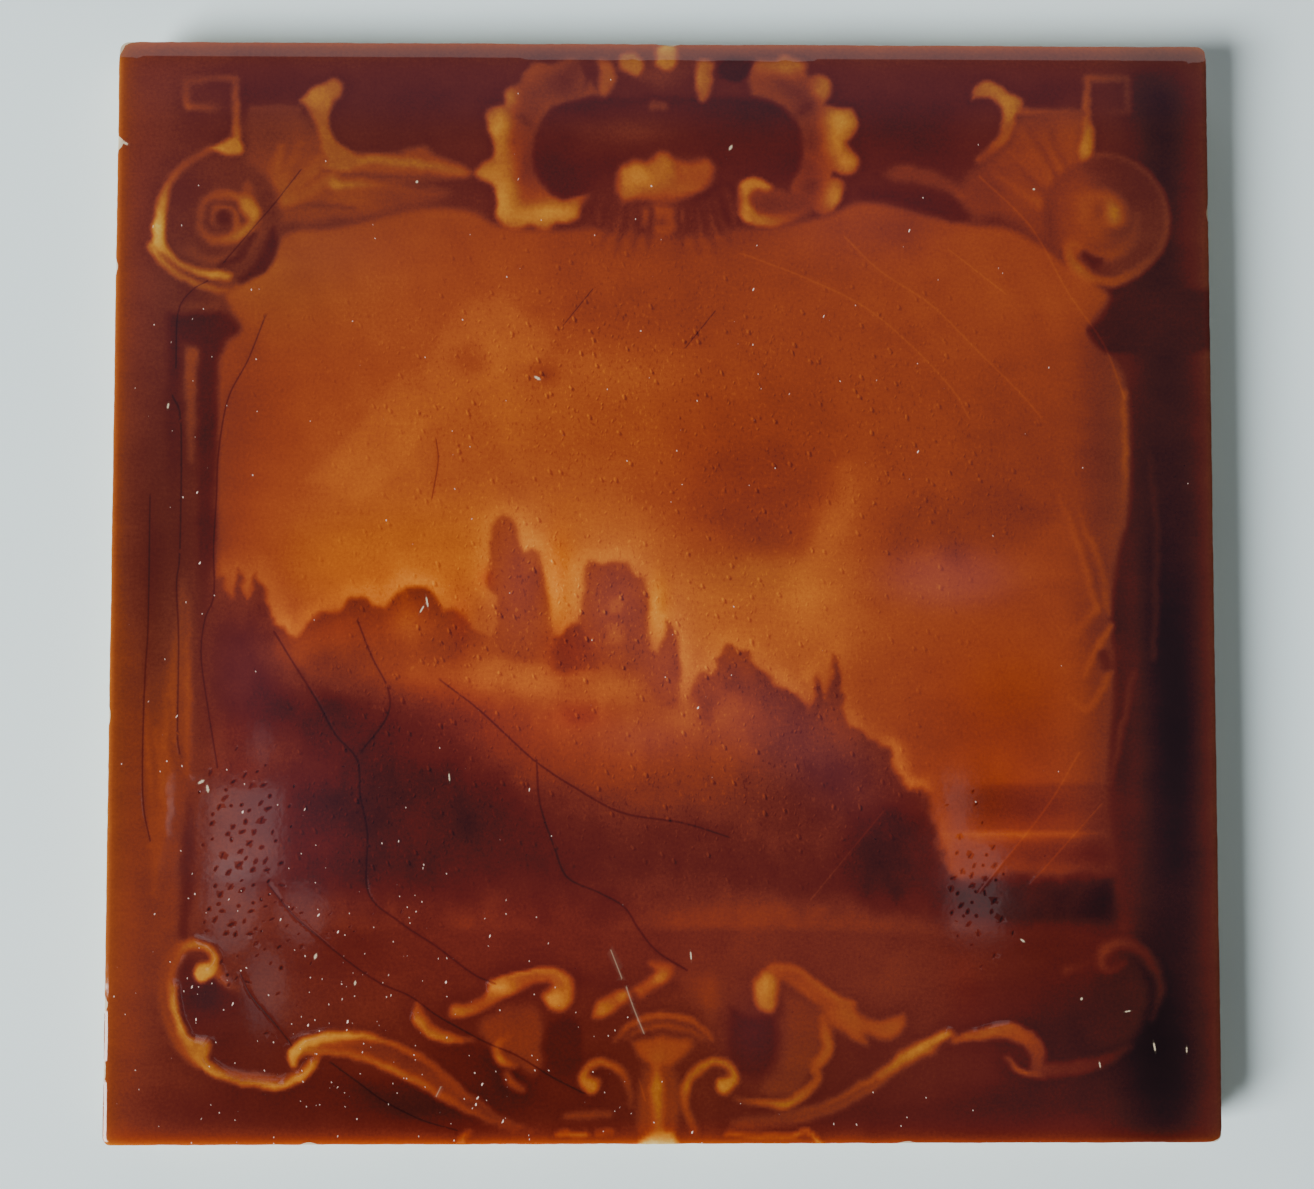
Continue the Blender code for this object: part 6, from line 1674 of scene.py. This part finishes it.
def without_haze_and_sheen(lightness, haze_and_sheen):
    """The lightness under the haze: what is left when the haze's own light, its violet cast and painted
    sheen, is taken from it.
    """
    shown = ((np.clip(lightness, 4.0, 255.0) / 255.0 + 0.055) / 1.055) ** 2.4
    under = np.maximum(shown - HAZE_AND_SHEEN_SHARE * haze_and_sheen, 0.002)
    return 255.0 * (1.055 * under ** (1.0 / 2.4) - 0.055)


def linear(colour):
    """A colour from 0 to 255 as the light it stands for."""
    shares = [part / 255.0 for part in colour]
    light = [share / 12.92 if share <= 0.04045 else ((share + 0.055) / 1.055) ** 2.4 for share in shares]
    return (*light, 1.0)


class Nodes:
    """A material's nodes, made and joined in one call each."""

    def __init__(self, name):
        self.material = bpy.data.materials.new(name)
        self.material.use_nodes = True
        self.tree = self.material.node_tree
        self.shader = self.tree.nodes["Principled BSDF"]
        self.object_place = self.tree.nodes.new("ShaderNodeTexCoord").outputs["Object"]

    def fill(self, socket, value):
        """A number or another node's output for one input."""
        if isinstance(value, bpy.types.NodeSocket):
            self.tree.links.new(value, socket)
        else:
            socket.default_value = value

    def add(self, kind, inputs=None, **settings):
        """A new node with its settings, and with numbers or other nodes' outputs for its inputs."""
        node = self.tree.nodes.new(kind)
        for key, value in settings.items():
            setattr(node, key, value)
        for key, value in (inputs or {}).items():
            self.fill(node.inputs[key], value)
        return node

    def number(self, name):
        """A number that the mesh keeps for each point."""
        return self.add("ShaderNodeAttribute", attribute_name=name).outputs["Fac"]

    def math(self, operation, first, second=0.0, third=0.0, clamp=False):
        """One sum on numbers or outputs."""
        inputs = {0: first, 1: second, 2: third}
        return self.add("ShaderNodeMath", inputs, operation=operation, use_clamp=clamp).outputs[0]

    def vector(self, operation, first, second):
        """One sum on coordinates."""
        return self.add("ShaderNodeVectorMath", {0: first, 1: second}, operation=operation).outputs[0]

    def noise(self, size, detail=2.0, roughness=0.5, stretch=None):
        """Soft noise from 0 to 1 whose blotches are about as large as size, in millimetres."""
        place = self.object_place
        if stretch:
            place = self.vector("MULTIPLY", place, stretch)
        inputs = {"Vector": place, "Scale": 1.0 / (size * MM), "Detail": detail, "Roughness": roughness}
        return self.add("ShaderNodeTexNoise", inputs).outputs["Fac"]

    def centred(self, value, gain):
        """A noise as a change to either side of nought."""
        return self.math("MULTIPLY_ADD", value, gain, -0.5 * gain)

    def step(self, value, low, high, start=0.0, end=1.0):
        """A smooth change from start at low to end at high."""
        inputs = {"Value": value, "From Min": low, "From Max": high, "To Min": start, "To Max": end}
        return self.add("ShaderNodeMapRange", inputs, interpolation_type="SMOOTHSTEP").outputs["Result"]

    def mix(self, first, second, share, blend="MIX"):
        """One colour laid over another."""
        node = self.add("ShaderNodeMix", data_type="RGBA", blend_type=blend)
        for socket, value in ((node.inputs[0], share), (node.inputs[6], first), (node.inputs[7], second)):
            self.fill(socket, value)
        return node.outputs[2]

    def set(self, **inputs):
        """The shader's own inputs."""
        for key, value in inputs.items():
            self.fill(self.shader.inputs[key.replace("_", " ")], value)


def flattened(nodes, offset):
    """The object's own coordinates, moved in millimetres and with no height."""
    place = nodes.vector("ADD", nodes.object_place, [part * MM for part in offset])
    return nodes.vector("MULTIPLY", place, FLAT)


def leaning(nodes, place, lean, stretch):
    """Coordinates turned by a lean in degrees, uneven by a fraction of a millimetre, and stretched."""
    turned = nodes.add("ShaderNodeVectorRotate", {"Vector": place, "Angle": math.radians(-lean)},
                       rotation_type="Z_AXIS").outputs[0]
    uneven = nodes.add("ShaderNodeTexNoise", {"Vector": place, "Scale": 1.0 / (0.5 * MM), "Detail": 2.0})
    offset = nodes.vector("MULTIPLY", uneven.outputs["Color"], [0.35 * MM] * 3)
    return nodes.vector("MULTIPLY", nodes.vector("ADD", turned, offset), stretch)


def dots(nodes, place, spacing, inner, outer, share):
    """Small dots, one to a cell of the given spacing, in a share of the cells."""
    cells = nodes.add("ShaderNodeTexVoronoi", {"Vector": place, "Scale": 1.0 / (spacing * MM)})
    dot = nodes.step(cells.outputs["Distance"], low=inner, high=outer, start=1.0, end=0.0)
    lot = nodes.add("ShaderNodeSeparateColor", {"Color": cells.outputs["Color"]}).outputs["Red"]
    return nodes.math("MULTIPLY", dot, nodes.math("LESS_THAN", lot, share))


def bubble_shading(nodes, offset, lean, spacing, inner, outer, share):
    """The painted light or shade on one side of a layer of bubbles, drawn out along a lean and moved by an
    offset.
    """
    place = leaning(nodes, flattened(nodes, offset), lean, BUBBLE_STRETCH)
    return dots(nodes, place, spacing, inner, outer, share)


def bubble_shade(nodes):
    """Painted light and shade on small bubbles in the glaze, each dark on one side and light on the other,
    and on soft dents.
    """
    large_layer = {"lean": 28.0, "spacing": 1.5, "share": 0.8}
    small_layer = {"lean": -20.0, "spacing": 0.9, "share": 0.7}
    dark = bubble_shading(nodes, (0.0, 0.0, 0.0), inner=0.07, outer=0.22, **large_layer)
    light = bubble_shading(nodes, (0.26, -0.16, 0.0), inner=0.05, outer=0.19, **large_layer)
    small_dark = bubble_shading(nodes, (4.0, 2.0, 0.0), inner=0.06, outer=0.24, **small_layer)
    small_light = bubble_shading(nodes, (4.16, 1.88, 0.0), inner=0.05, outer=0.2, **small_layer)
    large = nodes.math("MULTIPLY_ADD", light, 0.2, nodes.math("MULTIPLY", dark, -0.17))
    small = nodes.math("MULTIPLY_ADD", small_light, 0.12, nodes.math("MULTIPLY", small_dark, -0.1))
    dabs = nodes.noise(size=0.55, detail=1.0, roughness=0.5, stretch=(1.5, 0.7, 1.0))
    # Painted highlight on the raised dents and painted shade in the sunken ones
    raised = nodes.step(dabs, low=0.62, high=0.78, start=0.0, end=0.09)
    dent_shade = nodes.step(dabs, low=0.24, high=0.38, start=-0.08, end=0.0)
    return nodes.math("ADD", nodes.math("ADD", large, small), nodes.math("ADD", raised, dent_shade))


def speck_cover(nodes):
    """White specks, round and drawn out, where they lie thickly."""
    chance = nodes.math("MULTIPLY", nodes.number("specks"), 0.46)
    long_place = leaning(nodes, flattened(nodes, (3.0, 1.0, 0.0)), -24.0, LONG_SPECK_STRETCH)
    long_ones = dots(nodes, long_place, spacing=1.5, inner=0.03, outer=0.08, share=chance)
    round_place = leaning(nodes, nodes.object_place, 10.0, ROUND_SPECK_STRETCH)
    round_ones = dots(nodes, round_place, spacing=1.0, inner=0.05, outer=0.11, share=chance)
    return nodes.math("MAXIMUM", long_ones, nodes.math("MULTIPLY", round_ones, 0.6))


def glaze_value(nodes):
    """The glaze's lightness with mottling and grain, changed by cracks and scratches, by the painted shade
    of pits and by painted light and shade on bubbles.
    """
    lightness = nodes.number("lightness")
    wide = nodes.centred(nodes.noise(size=11.0, detail=3.0, roughness=0.55), gain=0.045)
    drawn = nodes.noise(size=5.0, detail=3.0, roughness=0.6, stretch=(0.45, 1.6, 1.0))
    streaks = nodes.centred(drawn, gain=0.06)
    grain = nodes.centred(nodes.noise(size=0.45, detail=3.0, roughness=0.75), gain=0.16)
    change = nodes.math("ADD", nodes.math("ADD", wide, streaks), grain)
    scaled = nodes.math("MULTIPLY", change, nodes.math("MULTIPLY_ADD", lightness, 1.4, 0.35))
    value = nodes.math("ADD", lightness, scaled)
    darkened = nodes.math("MULTIPLY_ADD", nodes.number("crack"), CRACK_SHADE, 1.0)
    value = nodes.math("MULTIPLY", value, darkened)
    value = nodes.math("MULTIPLY_ADD", nodes.number("scratch"), SCRATCH_SHADE, value)
    # Pits are darkened with painted shade
    value = nodes.math("MULTIPLY_ADD", nodes.number("pit"), PIT_SHADE, value)
    return nodes.math("ADD", value, nodes.math("MULTIPLY", bubble_shade(nodes), nodes.number("bubble_shading")))


def glaze_material():
    """Amber glaze: its colour follows its depth, with mottling, specks, cracks, painted sheen in its haze,
    painted light and shade on bubbles and pits, and an uneven gloss.
    """
    nodes = Nodes("amber_glaze")
    colours = nodes.add("ShaderNodeValToRGB", {"Fac": glaze_value(nodes)})
    stops = colours.color_ramp.elements
    while len(stops) < len(GLAZE_COLOURS):
        stops.new(0.5)
    for stop, (level, colour) in zip(stops, GLAZE_COLOURS):
        stop.position = level / LIGHTEST
        stop.color = linear(colour)
    colour = colours.outputs["Color"]
    redder = nodes.math("MULTIPLY", nodes.number("red"), RED_STRENGTH, clamp=True)
    red = nodes.mix(colour, nodes.mix(colour, RED_SHIFT, 1.0, "MULTIPLY"), redder)
    golden = nodes.mix(red, nodes.mix(red, GOLD_SHIFT, 1.0, "MULTIPLY"), nodes.number("gold"))
    # The haze adds a violet cast and a painted sheen of reflected light
    with_haze_and_sheen = nodes.mix(golden, HAZE_AND_SHEEN_LIGHT, nodes.number("haze_and_sheen"), "ADD")
    speckled = nodes.mix(with_haze_and_sheen, linear(SPECK_COLOUR), speck_cover(nodes))
    base = nodes.mix(speckled, linear(CLAY_COLOUR), nodes.number("clay"))
    smears = nodes.noise(size=16.0, detail=4.0, roughness=0.6)
    smear = nodes.step(smears, low=0.45, high=0.75, start=0.05, end=0.10)
    rough = nodes.math("MULTIPLY_ADD", nodes.number("clay"), 0.5, smear)
    peel = nodes.noise(size=1.6)
    bump = nodes.add("ShaderNodeBump", {"Height": peel, "Strength": 0.3, "Distance": PEEL_HEIGHT * MM})
    nodes.set(Base_Color=base, Roughness=rough, Normal=bump.outputs["Normal"], IOR=GLAZE_IOR)
    return nodes.material


def clay_material():
    """Pale fired clay: cream, dusty and stained, with brown runs of glaze down from its upper edge."""
    nodes = Nodes("pale_clay")
    height = nodes.add("ShaderNodeSeparateXYZ", {"Vector": nodes.object_place}).outputs["Z"]
    blotch = nodes.step(nodes.noise(size=14.0, detail=5.0, roughness=0.65), low=0.42, high=0.72)
    base = nodes.mix(linear(CLAY_COLOUR), linear(CLAY_STAIN), nodes.math("MULTIPLY", blotch, 0.55))
    dust = nodes.step(nodes.noise(size=3.0, detail=4.0, roughness=0.7), low=0.5, high=0.8)
    base = nodes.mix(base, linear(CLAY_DUST), nodes.math("MULTIPLY", dust, 0.5))
    fleck = nodes.step(nodes.noise(size=0.7, detail=2.0, roughness=0.6), low=0.66, high=0.74)
    base = nodes.mix(base, linear(CLAY_FLECK), nodes.math("MULTIPLY", fleck, 0.5))
    runs = nodes.noise(size=7.0, detail=3.0, roughness=0.6, stretch=(1.0, 1.0, 0.25))
    reach = nodes.math("MULTIPLY_ADD", runs, -RUN_LENGTH * MM, RUN_START * MM)
    glazed = nodes.step(nodes.math("SUBTRACT", height, reach), low=0.0, high=0.15 * MM)
    covered = nodes.step(height, low=7.2 * MM, high=7.7 * MM, start=1.0, end=0.0)
    glazed = nodes.math("MULTIPLY", glazed, covered)
    base = nodes.mix(base, linear(GLAZE_RUN), glazed)
    rough = nodes.math("MULTIPLY_ADD", glazed, -0.62, 0.82)
    grit = nodes.noise(size=0.45, detail=4.0, roughness=0.7)
    bump = nodes.add("ShaderNodeBump", {"Height": grit, "Strength": 0.5, "Distance": GRIT_HEIGHT * MM})
    nodes.set(Base_Color=base, Roughness=rough, Normal=bump.outputs["Normal"])
    return nodes.material


def floor_material():
    """A matt pale floor."""
    nodes = Nodes("floor")
    tint = nodes.mix(linear(FLOOR_COLOUR), linear(FLOOR_TINT), nodes.noise(size=60.0, detail=3.0))
    nodes.set(Base_Color=tint, Roughness=0.9)
    return nodes.material


# The floor, its size in metres, and the light from all round
FLOOR_COLOUR = (238, 254, 255)
FLOOR_TINT = (230, 250, 255)
FLOOR_SIZE = 3.0
WORLD_COLOUR = (1.0, 0.98, 0.96, 1.0)
WORLD_LIGHT = 0.085

# The camera over the tile
CAMERA_PLACE = (-4.23, -13.70, 256.21)
CAMERA_TURN = (2.861, -0.742, 0.025)
CAMERA_LENS = 49.315
SENSOR_WIDTH = 36.0
CAMERA_NEAR = 0.01

# The colour of small lights, which are those under a width in metres
COOL_LIGHT = (0.92, 0.96, 1.0)
SMALL_LIGHT = 0.1

# Soft lights: a name, an outline, a place in metres, a width, a height and a brightness, each aimed at the
# tile; the small ones are cool and their reflections lie on the face
LIGHTS = (
    ("key", "RECTANGLE", (-1.36, -0.80, 1.24), 0.92, 0.92, 29.0),
    ("window", "RECTANGLE", (0.0, 0.96, 0.54), 1.3, 0.5, 1.1),
    ("low_window", "RECTANGLE", (0.0, 1.1, 0.22), 1.3, 0.18, 2.6),
    ("left_glint", "RECTANGLE", (-0.270, -0.114, 1.0), 0.047, 0.062, 1.1),
    ("left_glint_foot", "ELLIPSE", (-0.277, -0.162, 1.0), 0.034, 0.066, 0.7),
    ("left_glint_head", "ELLIPSE", (-0.259, -0.055, 1.0), 0.012, 0.030, 0.4),
    ("left_glint_beside", "ELLIPSE", (-0.230, -0.170, 1.0), 0.030, 0.040, 0.5),
    ("left_glint_below", "ELLIPSE", (-0.254, -0.220, 1.0), 0.026, 0.056, 0.5),
    ("right_glint", "RECTANGLE", (0.218, -0.098, 1.0), 0.016, 0.046, 0.8),
    ("right_glint_foot", "RECTANGLE", (0.230, -0.153, 1.0), 0.035, 0.063, 0.75),
)


def add_floor():
    """The pale floor that the tile lies on."""
    mesh = bpy.data.meshes.new("floor")
    half = FLOOR_SIZE / 2.0
    corners = [(-half, -half, 0.0), (half, -half, 0.0), (half, half, 0.0), (-half, half, 0.0)]
    mesh.from_pydata(corners, [], [(0, 1, 2, 3)])
    mesh.materials.append(floor_material())
    floor = bpy.data.objects.new("floor", mesh)
    bpy.context.collection.objects.link(floor)


def add_light(name, shape, place, width, height, brightness):
    """A soft light of even brightness, aimed at the middle of the tile."""
    light = bpy.data.lights.new(name, "AREA")
    light.shape = shape
    if width < SMALL_LIGHT:
        light.color = COOL_LIGHT
    light.size, light.size_y = width, height
    light.energy = brightness * math.pi * width * height
    lamp = bpy.data.objects.new(name, light)
    lamp.location = place
    out = Vector(place).normalized()
    across = Vector((0.0, 1.0, 0.0)).cross(out).normalized()
    lamp.rotation_euler = Matrix((across, out.cross(across), out)).transposed().to_euler()
    bpy.context.collection.objects.link(lamp)


def add_world():
    """Dim even light from all round."""
    world = bpy.data.worlds.new("studio")
    world.use_nodes = True
    background = world.node_tree.nodes["Background"]
    background.inputs["Color"].default_value = WORLD_COLOUR
    background.inputs["Strength"].default_value = WORLD_LIGHT
    bpy.context.scene.world = world


def add_camera():
    """The camera, nearly straight above the tile."""
    data = bpy.data.cameras.new("camera")
    data.lens, data.sensor_width = CAMERA_LENS, SENSOR_WIDTH
    data.clip_start = CAMERA_NEAR
    camera = bpy.data.objects.new("camera", data)
    camera.location = Vector(CAMERA_PLACE) * MM
    camera.rotation_euler = [math.radians(turn) for turn in CAMERA_TURN]
    bpy.context.collection.objects.link(camera)
    bpy.context.scene.camera = camera


# The parts of the ornament, in the order in which they are carved
CARVING = (upper_left_corner, upper_right_corner, cartouche, lower_left_corner, lower_right_corner,
           lower_middle, side_columns)

build_glaze(glaze_material())
build_biscuit(clay_material())
add_floor()
for light_values in LIGHTS:
    add_light(*light_values)
add_world()
add_camera()
